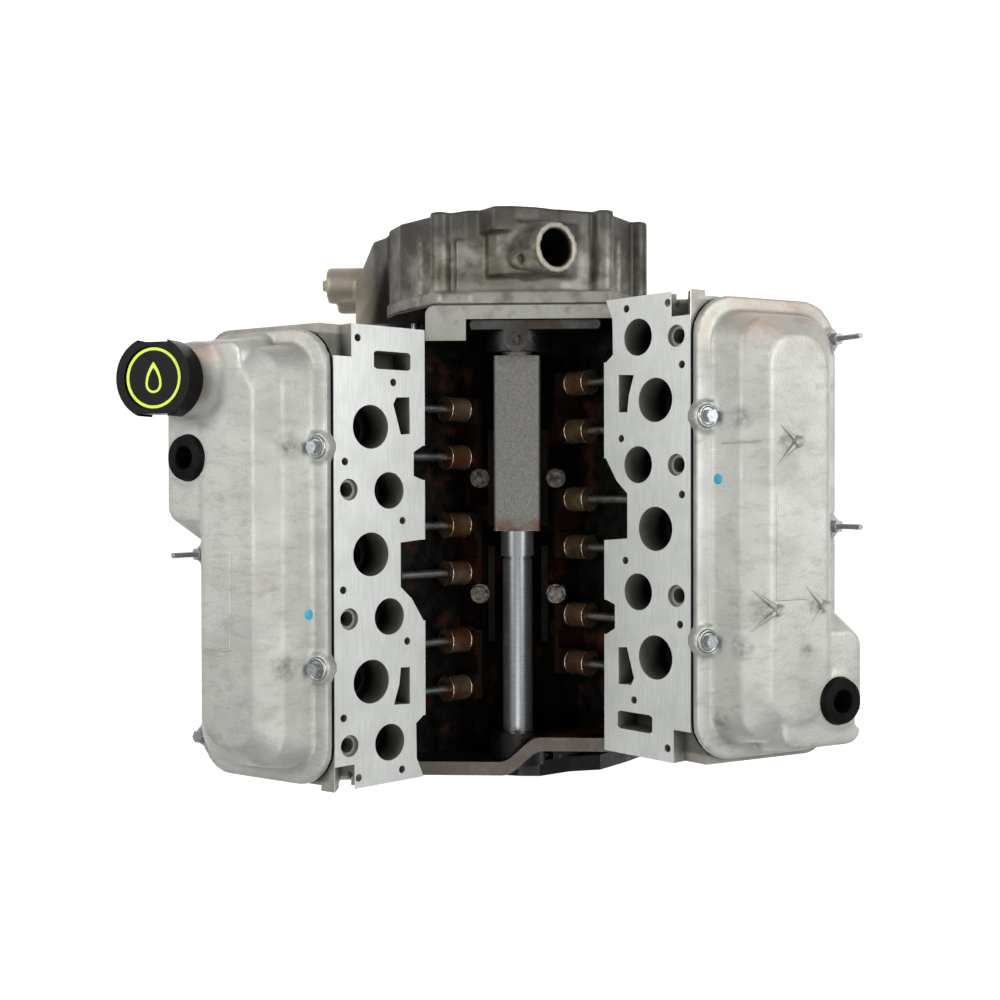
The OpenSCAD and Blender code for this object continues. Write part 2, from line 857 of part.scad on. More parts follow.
module balance_gear() {
  color(metal_steel)
    difference() {
      gear_y(balance_teeth, gear_m, gear_y, gear_w, 0, balance_z, 180 + 180 / balance_teeth);
      rod_y(balance_d / 2 + 0.02, gear_y - 1, gear_w + 2, z = balance_z);
    }
}

module balance_bushes() {
  color("#a08858")
    for (y = [[balance_rear - 4, 18], [balance_front, 16]])
      difference() {
        rod_y(balance_d / 2 + bush_t, y[0], y[1], z = balance_z);
        rod_y(balance_d / 2 + run_gap, y[0] - 1, y[1] + 2, z = balance_z);
      }
}

plate_seat = balance_z + 29.6;
plate_bolt_r = 3;

module balance_thrust_plate() {
  color(metal_dark)
    difference() {
      translate([0, balance_front + 9, plate_seat])
        linear_extrude(3)
          offset(r = -3)
            offset(delta = 3) {
              circle(10.5);
              translate([-10.5, 0])
                square([21, 12]);
              translate([-41, 9.4])
                round_rect(116, 8, 4);
            }
      translate([0, balance_front + 9.6, balance_z])
        cylinder(r = plate_bolt_r + bolt_gap, h = 60);
    }
}

module valley_bolts() {
  color(metal_steel) {
    translate([0, balance_front + 9.6, plate_seat + 3])
      hex_bolt(4.6, 3.6, plate_bolt_r, 12);
    for (y = retainer_y, x = [-retainer_x, retainer_x])
      translate([x, y, boss_top + 2])
        hex_bolt(7, 6, valley_bolt_r, 24);
  }
}

lifter_u0 = cam_z * cos(bank_half) + lobe_nose + side_gap;
lifter_l = 68;
lifter_cup = 4;

module lifter_places() {
  both_banks()
    for (k = cylinders, s = [-1, 1])
      translate([-lifter_v, k * bore_pitch + s * lifter_y, lifter_u0])
        children();
}

module lifters() {
  color(metal_brown)
    lifter_places()
      difference() {
        cylinder(r = lifter_d / 2, h = lifter_l);
        translate([0, 0, lifter_l - lifter_cup])
          cylinder(r = pushrod_d / 2 + 0.3, h = lifter_cup + 1);
        translate([-20, -3.5, -1])
          cube([40, 7, 12]);
        translate([0, 0, boss_u - lifter_u0 + 4])
          difference() {
            cylinder(r = lifter_d, h = 5);
            translate([0, 0, -1])
              cylinder(r = lifter_d / 2 - 1.2, h = 7);
          }
      }
}

guide_end = lifter_y + lifter_d / 2 - 1.5;

module lifter_guides() {
  t = 5;
  color(metal_brown)
    both_banks()
      for (k = cylinders)
        translate([-lifter_v, k * bore_pitch, boss_u + 0.02])
          difference() {
            translate([-15.5, -guide_end, 0])
              cube([31, 2 * guide_end, t + 3]);
            for (s = [-1, 1])
              translate([0, s * lifter_y, -1])
                cylinder(r = lifter_d / 2 + 0.15, h = 30);
            translate([-20, -lifter_y + 13.5, t])
              cube([40, 2 * lifter_y - 27, 20]);
          }
}

retainer_t = 1.5;
leaf_top = boss_top + retainer_t;

// Spring plates bolted across the valley floor, one pair of leaves on each side
module lifter_retainers() {
  color(metal_brown)
    for (y = retainer_y)
      difference() {
        union() {
          slab_y(y - 8, 16)
            polygon([[-43, boss_top], [-26, boss_top], [-14, 158], [14, 158], [26, boss_top], [43, boss_top],
              [43, leaf_top], [25.4, leaf_top], [13.4, 158 + retainer_t],
              [-13.4, 158 + retainer_t], [-25.4, leaf_top], [-43, leaf_top]]);
          for (x = [-27.5, 21.5])
            translate([x, y - 44, boss_top])
              cube([6, 88, retainer_t]);
        }
        for (x = [-retainer_x, retainer_x])
          translate([x, y, 160])
            cylinder(r = valley_bolt_r + bolt_gap, h = 20);
      }
}

pushrod_u0 = lifter_u0 + lifter_l - lifter_cup;
valve_x = -2;
valve_up = 8;
function rail_w_at(x, u) = (x + intake_v) * cos(valve_tilt) + (u - rail_u) * sin(valve_tilt);
function rail_h_at(x, u) = -(x + intake_v) * sin(valve_tilt) + (u - rail_u) * cos(valve_tilt);
valve_w = rail_w_at(valve_x, head_u + valve_up);
valve_h = rail_h_at(valve_x, head_u + valve_up);
pushrod_top = rail_u + 19;
pushrod_w = rail_w_at(-lifter_v, pushrod_top);
pushrod_h = rail_h_at(-lifter_v, pushrod_top);
pivot_w = pushrod_w + (valve_w - pushrod_w) / (1 + rocker_ratio);
rocker_low = 2;
stem_top = 10.4;
pushrod_r = pushrod_d / 2;

module pushrods() {
  color(metal_steel)
    both_banks()
      for (k = cylinders, s = [-1, 1])
        translate([-lifter_v, k * bore_pitch + s * lifter_y, pushrod_u0])
          cylinder(r = pushrod_r, h = pushrod_top - pushrod_u0);
}

piston_r = r_bore - run_gap;
piston_up = deck_h - 0.5 - rod_len - throw;
piston_down = rod_len - stroke - pin_r - cheek - 2;
wrist_r = 11.5;
ring_h = [26.5, 20.5, 13.5];
ring_t = [1.5, 1.5, 3];

function crank_angle(side, k) = base_angles[1 - side * k] - side * (split + bank_half);
function wrist_u(side, k) =
  let (a = crank_angle(side, k)) throw * cos(a) + sqrt(pow(rod_len, 2) - pow(throw * sin(a), 2));

module piston(side, k) {
  bank(side)
    translate([0, k * bore_pitch, wrist_u(side, k)]) {
      color(metal_cover)
        difference() {
          translate([0, 0, -piston_down])
            cylinder(r = piston_r, h = piston_up + piston_down);
          translate([0, 0, -piston_down - 1])
            cylinder(r = piston_r - 6, h = piston_down + 12);
          for (s = [-1, 1])
            translate([-60, s > 0 ? 30 : -80, -piston_down - 1])
              cube([120, 50, piston_down - wrist_r - 4]);
          translate([0, 60, 0])
            rotate([90, 0, 0])
              cylinder(r = wrist_r + 0.02, h = 120);
          for (i = [0:2])
            translate([0, 0, ring_h[i]])
              difference() {
                cylinder(r = piston_r + 1, h = ring_t[i] + 0.2);
                translate([0, 0, -1])
                  cylinder(r = piston_r - 4, h = 9);
              }
          translate([0, 0, piston_up - 2])
            cylinder(r = 28, h = 3);
        }
      color(metal_steel) {
        for (i = [0:2])
          translate([0, 0, ring_h[i] + 0.1])
            difference() {
              cylinder(r = piston_r + 0.01, h = ring_t[i]);
              translate([0, 0, -1])
                cylinder(r = piston_r - 3.6, h = 9);
            }
        translate([0, 40, 0])
          rotate([90, 0, 0])
            difference() {
              cylinder(r = wrist_r, h = 80);
              translate([0, 0, -1])
                cylinder(r = wrist_r - 4, h = 82);
            }
      }
    }
}

module piston_1() { piston(RIGHT, 1); }
module piston_2() { piston(RIGHT, 0); }
module piston_3() { piston(RIGHT, -1); }
module piston_4() { piston(LEFT, -1); }
module piston_5() { piston(LEFT, 0); }
module piston_6() { piston(LEFT, 1); }

deck_out = 72;

module head_gaskets() {
  color("#4a4038")
    both_banks()
      translate([0, 0, deck_h])
        difference() {
          translate([-bank_x, -head_len / 2, 0])
            cube([bank_w, head_len, gasket_t]);
          for (k = cylinders)
            translate([0, k * bore_pitch, -1])
              cylinder(r = r_bore + 1, h = 5);
          for (x = [-head_bolt_x, head_bolt_x], m = mains)
            translate([x, m * bore_pitch, -1])
              cylinder(r = head_bolt_r + bolt_gap, h = 5);
        }
}

head_section = [
  [-intake_v, head_u], [deck_out, head_u], [deck_out, head_u + 64], [34, rail_u + 6],
  [-intake_v + rail_w * cos(valve_tilt), rail_u + rail_w * sin(valve_tilt)], [-intake_v, rail_u]
];
big_u = 293.5;
small_u = 274.4;
port_depth = 34;
seat_u_in = 316;
seat_u_out = 300;
box_y = 176;
corner_r = 26;
box_in = 12;
box_out = 129;
chamber_r = r_bore - 3;

// Places on the intake face, as (height, place along the head)
sleeve_holes = [[316, 156.1], [316, 51.3], [316, -55.4]];
small_holes = [[261.5, 183.2], [306.9, 183.7], [322, 132.5], [255.4, 74.2], [322, 27.2],
  [260.1, -28.8], [319.9, -78.5], [269.7, -145.8], [306.6, -181.1]];
notches = [
  [[230, 192.6], [238, 192.6], [245.4, 175.8], [246, 145.7], [238, 139.7], [230, 139.7]],
  [[230, 57.9], [237.5, 57.9], [250.3, 38.3], [262.3, 27.7], [262.3, -10.2], [239.5, -12.1], [230, -12.1]],
  [[230, -63.3], [237.9, -63.3], [247.9, -66.8], [247.9, -87.2], [237.8, -92.9], [230, -92.9]]
];
slots = [
  [[252.6, 128.2], [270, 127.1], [264.2, 110.6], [262.4, 96.2], [252.6, 96.6]],
  [[251.9, -102.8], [261.7, -101.9], [269.7, -127.3], [266.5, -133.3], [252.2, -134]],
  [
    [251, -158], [254, -156.4], [287, -156.4], [290, -158],
    [290, -170], [287, -171.6], [254, -171.6], [251, -170]
  ]
];

// Cuts an outline given on the intake face to a depth into the head
module face_cut(outline, depth) {
  translate([-intake_v - 1, 0, 0])
    rotate([0, 90, 0])
      linear_extrude(depth + 1)
        polygon([for (p = outline) [-p[0], p[1]]]);
}

module face_hole(u, y, r, depth) {
  translate([-intake_v - 1, y, u])
    rotate([0, 90, 0])
      cylinder(r = r, h = depth + 1);
}

module in_rail() {
  translate([-intake_v, 0, rail_u])
    rotate([0, -valve_tilt, 0])
      children();
}

module head_solid() {
  difference() {
    slab_y(-head_len / 2, head_len)
      polygon(head_section);
    in_rail()
      translate([box_in, -box_y, -box_depth])
        cube([box_out - box_in, 2 * box_y, box_depth + 20]);
    translate([-intake_v - 1, head_len / 2 - 20.5, rail_u + 1])
      rotate([0, 45, 0])
        translate([-30, 0, -14])
          cube([60, 30, 14]);
    translate([-intake_v + 14, head_len / 2 - 4.5, head_u - 1])
      cube([2 * intake_v, 30, 2 * intake_v]);
    for (y = [[head_len / 2 - 4.5 - corner_r, 0], [corner_r - head_len / 2, -corner_r - 1]])
      in_rail()
        translate([rail_w - corner_r, y[0], -34])
          difference() {
            translate([0, y[1], 0])
              cube([2 * corner_r, corner_r + 1, 60]);
            translate([0, 0, -1])
              cylinder(r = corner_r, h = 62);
          }
  }
  for (k = cylinders, s = [-1, 1])
    in_rail()
      translate([pivot_w, k * bore_pitch + s * lifter_y, -box_depth - 1])
        cylinder(r = 9, h = box_depth + 1 + rocker_low);
  for (x = [-1, 1], y = [-1, 1])
    in_rail()
      translate([x < 0 ? box_in - 1 : box_out + 1 - 18, y * (box_y - 9) - 9, -box_depth - 1])
        cube([18, 18, box_depth - 5]);
}

module head_cuts() {
  for (k = cylinders) {
    y = k * bore_pitch;
    face_hole(big_u, y - 1.3, port_big_d / 2, port_depth);
    face_hole(small_u, y + 51.9, port_small_d / 2, port_depth);
    link_rod([-intake_v + port_depth - 4, y - 1.3, big_u], [-14, y + lifter_y, head_u + 30], 12);
    link_rod([-intake_v + port_depth - 4, y + 51.9, small_u], [-12, y + lifter_y + 2, head_u + 28], 11);
    link_rod([-6, y - lifter_y, head_u + 28], [deck_out + 2, y - lifter_y, head_u + 30], 15);
    for (s = [-1, 1]) {
      translate([-lifter_v, y + s * lifter_y, head_u - 1])
        cylinder(r = pushrod_r + 1.4, h = 120);
      in_rail()
        translate([valve_w, y + s * lifter_y, valve_h - 1]) {
          cylinder(r = (s > 0 ? intake_valve_d : exhaust_valve_d) / 2 - 2, h = 26);
          cylinder(r = stem_d / 2 + run_gap, h = 120);
        }
      in_rail()
        translate([pivot_w, y + s * lifter_y, -24])
          cylinder(r = 4 + bolt_gap, h = 60);
    }
    intersection() {
      translate([0, y, head_u - 1])
        cylinder(r = chamber_r, h = 40);
      in_rail()
        translate([0, y - 60, valve_h - 60])
          cube([180, 120, 60]);
    }
    translate([deck_out + 1, y + 6, head_u + 47])
      rotate([0, -118, 0]) {
        cylinder(r = 7, h = 60);
        cylinder(r = 11, h = 28);
      }
    for (s = [-1, 1])
      translate([deck_out - 22, y - lifter_y + s * 26, head_u + 14])
        rotate([0, 90, 0])
          cylinder(r = 4.2, h = 30);
  }
  for (x = [-1, 1], m = mains)
    translate([x * head_bolt_x, m * bore_pitch, head_u - 1]) {
      cylinder(r = head_bolt_r + bolt_gap, h = 130);
      translate([0, 0, (x < 0 ? seat_u_in : seat_u_out) - head_u + 1])
        cylinder(r = 13, h = 60);
    }
  for (h = sleeve_holes) {
    face_hole(h[0], h[1], 9, 4);
    face_hole(h[0], h[1], 6.2, 22);
  }
  for (h = small_holes)
    face_hole(h[0], h[1], 3.25, 16);
  for (o = notches)
    face_cut(o, 32);
  for (o = slots)
    face_cut(o, 24);
  translate([-intake_v - 1, -head_len / 2 - 1, 313])
    cube([16, 28.5, 30]);
  in_rail()
    for (p = concat(inner_bolts, outer_bolts))
      translate([p[0], p[1], -15])
        cylinder(r = cover_bolt_r + bolt_gap, h = 20);
}

inner_bolts = [[7, -90], [7, 90]];
outer_bolts = [[rail_w - 6, -157], [rail_w - 6, 0], [rail_w - 6, 157]];
cover_bolt_r = 3;

module cylinder_head(side) {
  color(metal_head)
    bank(side)
      difference() {
        head_solid();
        head_cuts();
      }
}

module cylinder_head_left() { cylinder_head(LEFT); }
module cylinder_head_right() { cylinder_head(RIGHT); }

module head_bolts() {
  color(metal_steel)
    both_banks()
      for (x = [-1, 1], m = mains)
        let (seat = x < 0 ? seat_u_in : seat_u_out)
          translate([x * head_bolt_x, m * bore_pitch, seat])
            hex_bolt(9, 9, head_bolt_r, seat - deck_h + head_bolt_deep - 2);
}

module valves() {
  color(metal_steel)
    both_rails()
      for (k = cylinders, s = [-1, 1])
        translate([valve_w, k * bore_pitch + s * lifter_y, 0]) {
          translate([0, 0, valve_h - 3])
            cylinder(r = (s > 0 ? intake_valve_d : exhaust_valve_d) / 2, h = 3);
          translate([0, 0, valve_h - eps])
            cylinder(r1 = (s > 0 ? intake_valve_d : exhaust_valve_d) / 2 - 3, r2 = stem_d / 2, h = 12);
          translate([0, 0, valve_h])
            cylinder(r = stem_d / 2, h = stem_top - valve_h);
          translate([0, 0, keeper_h])
            difference() {
              cylinder(r = 14, h = 4);
              translate([0, 0, -1])
                cylinder(r = stem_d / 2, h = 9);
            }
        }
}

keeper_h = 1;
spring_r = 12;
wire_r = 1.9;
spring_turns = 4;

module valve_spring() {
  sides = 5;
  per = 8;
  rings = spring_turns * per;
  low = -box_depth + wire_r + 0.1;
  rise = keeper_h - wire_r - 0.1 - low;
  points = [for (i = [0:rings], j = [0:sides - 1])
    let (a = i * 360 / per, b = j * 360 / sides)
      [(spring_r + wire_r * cos(b)) * cos(a), (spring_r + wire_r * cos(b)) * sin(a),
        low + rise * i / rings + wire_r * sin(b)]];
  polyhedron(points, concat(
    [[for (j = [0:sides - 1]) j]],
    [for (i = [0:rings - 1], j = [0:sides - 1])
      let (n = (j + 1) % sides)
        [i * sides + j, (i + 1) * sides + j, (i + 1) * sides + n, i * sides + n]],
    [[for (j = [sides - 1:-1:0]) rings * sides + j]]));
}

module valve_springs() {
  color(metal_steel)
    both_rails()
      for (k = cylinders, s = [-1, 1])
        translate([valve_w, k * bore_pitch + s * lifter_y, 0])
          valve_spring();
}

module rockers() {
  reach = valve_w + 6;
  color(metal_steel)
    both_rails()
      for (k = cylinders, s = [-1, 1])
        difference() {
          slab_y(k * bore_pitch + s * lifter_y - 8, 16)
            polygon([[pushrod_w - 7, pushrod_h + 1.4], [pushrod_w - 7, 15], [pivot_w - 10, 21],
              [pivot_w + 9, 21], [reach, 17], [reach + 1, 13], [reach - 2, stem_top + 0.1],
              [valve_w - 5, stem_top + 0.1], [pivot_w + 14, 6], [pivot_w + 8, rocker_low],
              [pivot_w - 8, rocker_low], [pushrod_w + 7, pushrod_h + 1.4]]);
          translate([pivot_w, k * bore_pitch + s * lifter_y, -5])
            cylinder(r = 4 + bolt_gap, h = 40);
        }
}

module rocker_bolts() {
  color(metal_steel)
    both_rails()
      for (k = cylinders, s = [-1, 1])
        translate([pivot_w, k * bore_pitch + s * lifter_y, 21])
          hex_bolt(6.5, 6, 4, 43);
}

seal_t = 1.6;
crown_y = 176;
flange_top = seal_t + cover_flange;
bump_h = cover_h - 1;

// Layers of the cast crown: inner edge, outer edge, half length and height
crown_layers = [
  [box_in + 1, rail_w - 11, crown_y, flange_top - 1],
  [22, rail_w - 30, crown_y - 6, cover_h - 14],
  [46, rail_w - 50, crown_y - 22, cover_h]
];

module layer_disc(x0, x1, y0, y1, h, r, t) {
  for (x = [x0 + r, x1 - r], y = [y0 + r, y1 - r])
    translate([x, y, h - t])
      cylinder(r = r, h = t, $fn = 32);
}

module crown(inset) {
  hull()
    for (l = crown_layers)
      layer_disc(l[0] + inset, l[1] - inset, -l[2] + inset, l[2] - inset, l[3] - inset, 26 - inset, 1);
}

// The bulge that carries the breather, from y0 back to y1 at its top
module bulge(y0, y1, ramp, outer, inset) {
  r = 13 - inset;
  hull() {
    layer_disc(56 + inset, outer - inset, y0 + inset, y1 + ramp - inset, flange_top - 1, r, 1);
    layer_disc(50 + inset, outer + 3 - inset, y0 + 4 + inset, y1 + ramp * 0.4 - inset, bump_h * 0.6, r, 1);
    layer_disc(54 + inset, outer - inset, y0 + 8 + inset, y1 - inset, bump_h - inset, r, 1);
  }
}

module cover_shell(y0, y1, ramp, outer) {
  difference() {
    union() {
      translate([0, -188, seal_t])
        linear_extrude(cover_flange)
          round_rect(rail_w, 376, 34);
      crown(0);
      bulge(y0, y1, ramp, outer, 0);
      for (p = concat(inner_bolts, outer_bolts))
        translate([p[0], p[1], seal_t])
          cylinder(r = p[0] < rail_w / 2 ? 12 : 9, h = bolt_seat - seal_t);
      children(0);
    }
    translate([0, 0, -eps])
      difference() {
        union() {
          crown(cover_wall);
          bulge(y0, y1, ramp, outer, cover_wall);
        }
        for (p = outer_bolts)
          translate([p[0], p[1], 0])
            cylinder(r = 12, h = 60);
      }
    translate([box_in + cover_wall + 2, -box_y + cover_wall + 2, 0])
      linear_extrude(flange_top)
        round_rect(box_out - box_in - 2 * cover_wall - 4, 2 * (box_y - cover_wall - 2), 22);
    for (p = concat(inner_bolts, outer_bolts))
      translate([p[0], p[1], 0]) {
        cylinder(r = cover_bolt_r + bolt_gap, h = 60);
        translate([0, 0, bolt_seat])
          cylinder(r = 8.5, h = 60);
      }
    children(1);
  }
}

bolt_seat = 13;
grommet_r = 15;
right_grommet = [109, -140];
left_grommet = [113, -82];
grommet_seat = bump_h + 1;

module grommet_pad(at) {
  translate([at[0], at[1], bump_h - 6])
    cylinder(r = grommet_od / 2 + 3, h = 7);
}

module grommet_hole(at) {
  translate([at[0], at[1], bump_h - 30])
    cylinder(r = grommet_r, h = 60);
  translate([at[0], at[1], grommet_seat])
    cylinder(r = grommet_od / 2 + 1.5, h = 20);
}

module valve_cover_right() {
  color(metal_cover)
    rail(RIGHT)
      cover_shell(-184, -84, 24, rail_w - 9) {
        grommet_pad(right_grommet);
        grommet_hole(right_grommet);
      }
}

filler_at = [121, -146, 67];
filler_tilt = 16;
neck_r = 27;
neck_bore = 22;
cap_notch = 27;

module filler() {
  rail(LEFT)
    translate(filler_at)
      rotate([0, -filler_tilt, 0])
        children();
}

module in_filler() {
  translate(filler_at)
    rotate([0, -filler_tilt, 0])
      children();
}

module valve_cover_left() {
  color(metal_cover)
    rail(LEFT)
      cover_shell(-184, -29, 24, rail_w - 4) {
        union() {
          grommet_pad(left_grommet);
          hull() {
            in_filler()
              translate([0, 0, -3])
                cylinder(r = neck_r, h = 3);
            translate([filler_at[0] - 17, filler_at[1], bump_h - 12])
              cylinder(r = neck_r + 6, h = 1);
          }
        }
        union() {
          grommet_hole(left_grommet);
          in_filler()
            translate([0, 0, -44])
              cylinder(r = neck_bore, h = 60);
        }
      }
}

module cover_gaskets() {
  color(rubber)
    both_rails()
      linear_extrude(seal_t)
        difference() {
          translate([0.5, -187.5])
            round_rect(rail_w - 1, 375, 33);
          translate([box_in - 0.5, -box_y])
            square([box_out - box_in + 1, 2 * box_y]);
          for (p = concat(inner_bolts, outer_bolts))
            translate([p[0], p[1]])
              circle(cover_bolt_r + bolt_gap);
        }
}

// The outer places that carry a stud in place of a plain bolt, front first
function is_stud(side, p) = p[0] > rail_w / 2 && (side == RIGHT ? p[1] > -10 : p[1] == 0);

module cover_bolts() {
  color(metal_zinc)
    for (side = [LEFT, RIGHT])
      rail(side)
        for (p = concat(inner_bolts, outer_bolts))
          if (!is_stud(side, p))
            translate([p[0], p[1], bolt_seat])
              hex_bolt(5.5, 6, cover_bolt_r, bolt_seat + 13);
}

module cover_studs() {
  color(metal_zinc)
    for (side = [LEFT, RIGHT])
      rail(side)
        for (p = outer_bolts)
          if (is_stud(side, p))
            translate([p[0], p[1], bolt_seat]) {
              hex_bolt(5.5, 6, cover_bolt_r, bolt_seat + 13);
              cylinder(r = cover_bolt_r - 0.7, h = 34);
            }
}

module breather_grommet() {
  rotate_extrude()
    polygon([[grommet_d / 2, -10], [grommet_r + 0.8, -10], [grommet_r + 0.8, -7.1], [grommet_r - 0.1, -7.1],
      [grommet_r - 0.1, 0], [grommet_od / 2, 0], [grommet_od / 2 - 1.5, 4.5], [grommet_d / 2 + 1, 5.5],
      [grommet_d / 2, 4.5]]);
}

module breather_grommets() {
  color(rubber) {
    rail(RIGHT)
      translate([right_grommet[0], right_grommet[1], grommet_seat])
        breather_grommet();
    rail(LEFT)
      translate([left_grommet[0], left_grommet[1], grommet_seat])
        breather_grommet();
  }
}

module oil_filler_cap() {
  color(rubber)
    filler() {
      translate([0, 0, 0.3])
        difference() {
          cylinder(r = cap_d / 2, h = cap_h);
          for (s = [-1, 1])
            translate([-cap_notch / 2, s * (cap_d / 2 + 4) - 8.5, -1])
              cube([cap_notch, 17, cap_h + 2]);
          translate([0, 0, cap_h - 2])
            cylinder(r = cap_d / 2 - 7.5, h = 4);
        }
      translate([0, 0, -14])
        cylinder(r = neck_bore - 0.4, h = 14.4);
    }
}

module cap_seal() {
  color("#503018")
    filler()
      difference() {
        translate([0, 0, -13])
          cylinder(r = neck_bore - run_gap, h = 3);
        translate([0, 0, -15])
          cylinder(r = neck_bore - 0.4, h = 9);
      }
}

gasket_front = 1;
front_y0 = front_y + gasket_front;
front_y1 = front_y + front_depth;
column_r = 9;
front_bolts = [
  [-68, 207], [78, 207], [-103, 150], [111, 150],
  [-104, 88], [108, 60], [-112, -41], [108, -41]
];

// Outline of the cover against the block
front_outline = [
  [-122, -skirt_z], [-122, 60], [-128, 84], [-126, 132], [-114, 160], [-78, 214], [-70, 222], [84, 222],
  [90, 214], [121, 160], [121, 60], [118, -skirt_z]
];

// Outlines of the housing behind the flange and of its hood round the water pump's face
body_outline = [
  [-122, -skirt_z], [-122, 52], [-126, 84], [-124, 128], [-110, 158], [-72, 200], [-44, 219], [40, 219],
  [82, 200], [106, 156], [112, 60], [108, -skirt_z]
];
hood_outline = [
  [-92, 100], [-92, 176], [-66, 201], [-34, 217], [-19, 237], [-1, 237], [20, 230], [50, 210], [76, 200],
  [100, 150], [100, 100]
];

// Outline of the space for the timing drive
case_outline = [
  [-48, -40], [-52, 0], [-67, 80], [-67, 150], [-44, 182], [-30, 206], [-20, 213], [20, 213], [30, 206],
  [44, 182], [66, 150], [64, 70], [46, 0], [46, -40]
];

pump_m = 3;
pump_teeth = 11;
pump_pitch = pump_m * pump_teeth;
pump_at = [-88, -2];
pump_depth = 16;
pump_y = front_y1 - pump_depth;
pump_add = 0.8;
pump_tip = pump_pitch / 2 + pump_m * pump_add;
pump_bolts = [[-88, 57], [-112, 30], [-64, 30], [-112, -2], [-64, -2], [-88, -27.5]];
water_at = [4, 166];
water_pcd = 92;
sync_top = [37, front_y + 45, 255];
sync_axis = [0.588, 0, 0.809];
sync_len = 54;

module front_cover_gasket() {
  color("#3b342c")
    difference() {
      slab_y(front_y, gasket_front)
        polygon(front_outline);
      slab_y(front_y - 1, gasket_front + 2)
        polygon(case_outline);
      for (b = front_bolts)
        rod_y(front_bolt_r + bolt_gap, front_y - 1, 4, b[0], b[1]);
    }
}

module front_cover() {
  color(metal_front)
    difference() {
      union() {
        slab_y(front_y0, 11)
          polygon(front_outline);
        slab_y(front_y0, front_depth - gasket_front)
          polygon(body_outline);
        slab_y(front_y1 - 21, 21)
          polygon(hood_outline);
        slab_y(front_y0 + 24, front_depth - 40)
          polygon([[-34, 205], [-24, 224], [10, 241], [30, 241], [62, 205]]);
        translate([-67, front_y0, 205])
          cube([26, 9, 19]);
        for (b = front_bolts)
          rod_y(column_r, front_y0 + 4, front_depth - gasket_front - 4, b[0], b[1]);
        link_rod(sync_top - sync_axis * sync_len, sync_top, sync_od / 2);
        clamp_lug();
        front_wing();
        front_ribs();
      }
      slab_y(front_y0 - 1, front_depth - front_wall - gasket_front + 1)
        polygon(case_outline);
      link_rod(sync_top - sync_axis * (sync_len + 30), sync_top + sync_axis * 20, sync_d / 2);
      rod_y(seal_bore_r, front_y0, front_depth + 2);
      for (b = front_bolts)
        rod_y(front_bolt_r + bolt_gap, front_y0 - 1, front_depth + 2, b[0], b[1]);
      for (s = [0, 1])
        rod_y(pump_tip + run_gap, pump_y, pump_depth + 1, pump_at[0], pump_at[1] + s * pump_pitch);
      for (b = pump_bolts)
        rod_y(2.5 + bolt_gap, front_y1 - 14, 16, b[0], b[1]);
      rod_y(38, front_y1 - 5, 8, water_at[0], water_at[1]);
      for (a = [45:90:315])
        let (r = water_pcd / 2)
          rod_y(4, front_y1 - 16, 18, water_at[0] + r * sin(a), water_at[1] + r * cos(a));
      pan_places(false, true)
        translate([0, 0, -1])
          cylinder(r = 3.3, h = 16);
      translate([pickup_x, pickup_end, -skirt_z - 1])
        cylinder(r = 6, h = 20);
    }
}

seal_bore_r = snout_r + 9;

// The lug beside the tower that takes the screw of the sensor's clamp
module clamp_lug() {
  translate(sync_top)
    rotate([0, acos(sync_axis[2]), 0])
      translate([0, 0, -12])
        linear_extrude(8)
          difference() {
            hull() {
              translate([-6, -8])
                circle(13);
              translate([-36, -13])
                circle(8);
            }
            translate([-33, -12])
              circle(3.2);
            circle(sync_d / 2);
          }
}

module front_wing() {
  hull() {
    slab_y(front_y0, 42)
      polygon([[-121, 0], [-150, 4], [-166, 22], [-168, 56], [-150, 74], [-118, 84]]);
    slab_y(front_y1 - 30, 24)
      polygon([[-110, 10], [-134, 24], [-145, 60], [-143, 102], [-126, 128], [-110, 132]]);
  }
  translate([-198, front_y + 45, 40])
    rotate([0, 90, 0])
      cylinder(r = 18, h = 50);
  translate([-204, front_y + 45, 40])
    rotate([0, 90, 0])
      cylinder(r = 6, h = 12);
  translate([-190, front_y + 26, 28])
    rotate([0, 90, 0])
      cylinder(r = 8, h = 40);
}

module front_ribs() {
  for (x = [-88, 92])
    translate([x - 3, front_y0 + 8, 100])
      cube([6, front_depth - 30, 84]);
  translate([-53, front_y0 + 8, 200])
    cube([14, front_depth - 36, 20]);
}

// The other holes wait for the long bolts of the water pump
module front_cover_bolts() {
  color(metal_zinc)
    for (b = [for (i = [4, 5, 6, 7]) front_bolts[i]])
      translate([b[0], front_y1, b[1]])
        rotate([-90, 0, 0])
          hex_bolt(6.5, 7, front_bolt_r, front_depth + 18);
}

module front_seal() {
  color(rubber)
    difference() {
      rod_y(seal_bore_r, front_y1 - front_wall, 9);
      rod_y(snout_r + run_gap, front_y1 - 20, 40);
    }
}

module pump_gear(i) {
  z = pump_at[1] + i * pump_pitch;
  color(metal_steel)
    difference() {
      gear_y(pump_teeth, pump_m, pump_y + 0.1, pump_depth - 0.3, pump_at[0], z,
        i == 0 ? 0 : 180 + 180 / pump_teeth, pump_add);
      rod_y(5, pump_y - 1, 30, pump_at[0], z);
    }
}

module pump_drive_gear() { pump_gear(0); }
module pump_idler_gear() { pump_gear(1); }

module oil_pump_cover() {
  color(metal_cover)
    difference() {
      union() {
        slab_y(front_y1, 6)
          translate([-119, -34])
            round_rect(62, 98, 22);
        for (s = [0, 1])
          rod_y(4.9, pump_y + 0.4, pump_depth, pump_at[0], pump_at[1] + s * pump_pitch);
      }
      for (b = pump_bolts)
        rod_y(2.5 + bolt_gap, front_y1 - 1, 8, b[0], b[1]);
    }
  color(metal_zinc)
    for (b = pump_bolts)
      translate([b[0], front_y1 + 6, b[1]])
        rotate([-90, 0, 0])
          hex_bolt(4, 4, 2.5, 18);
}

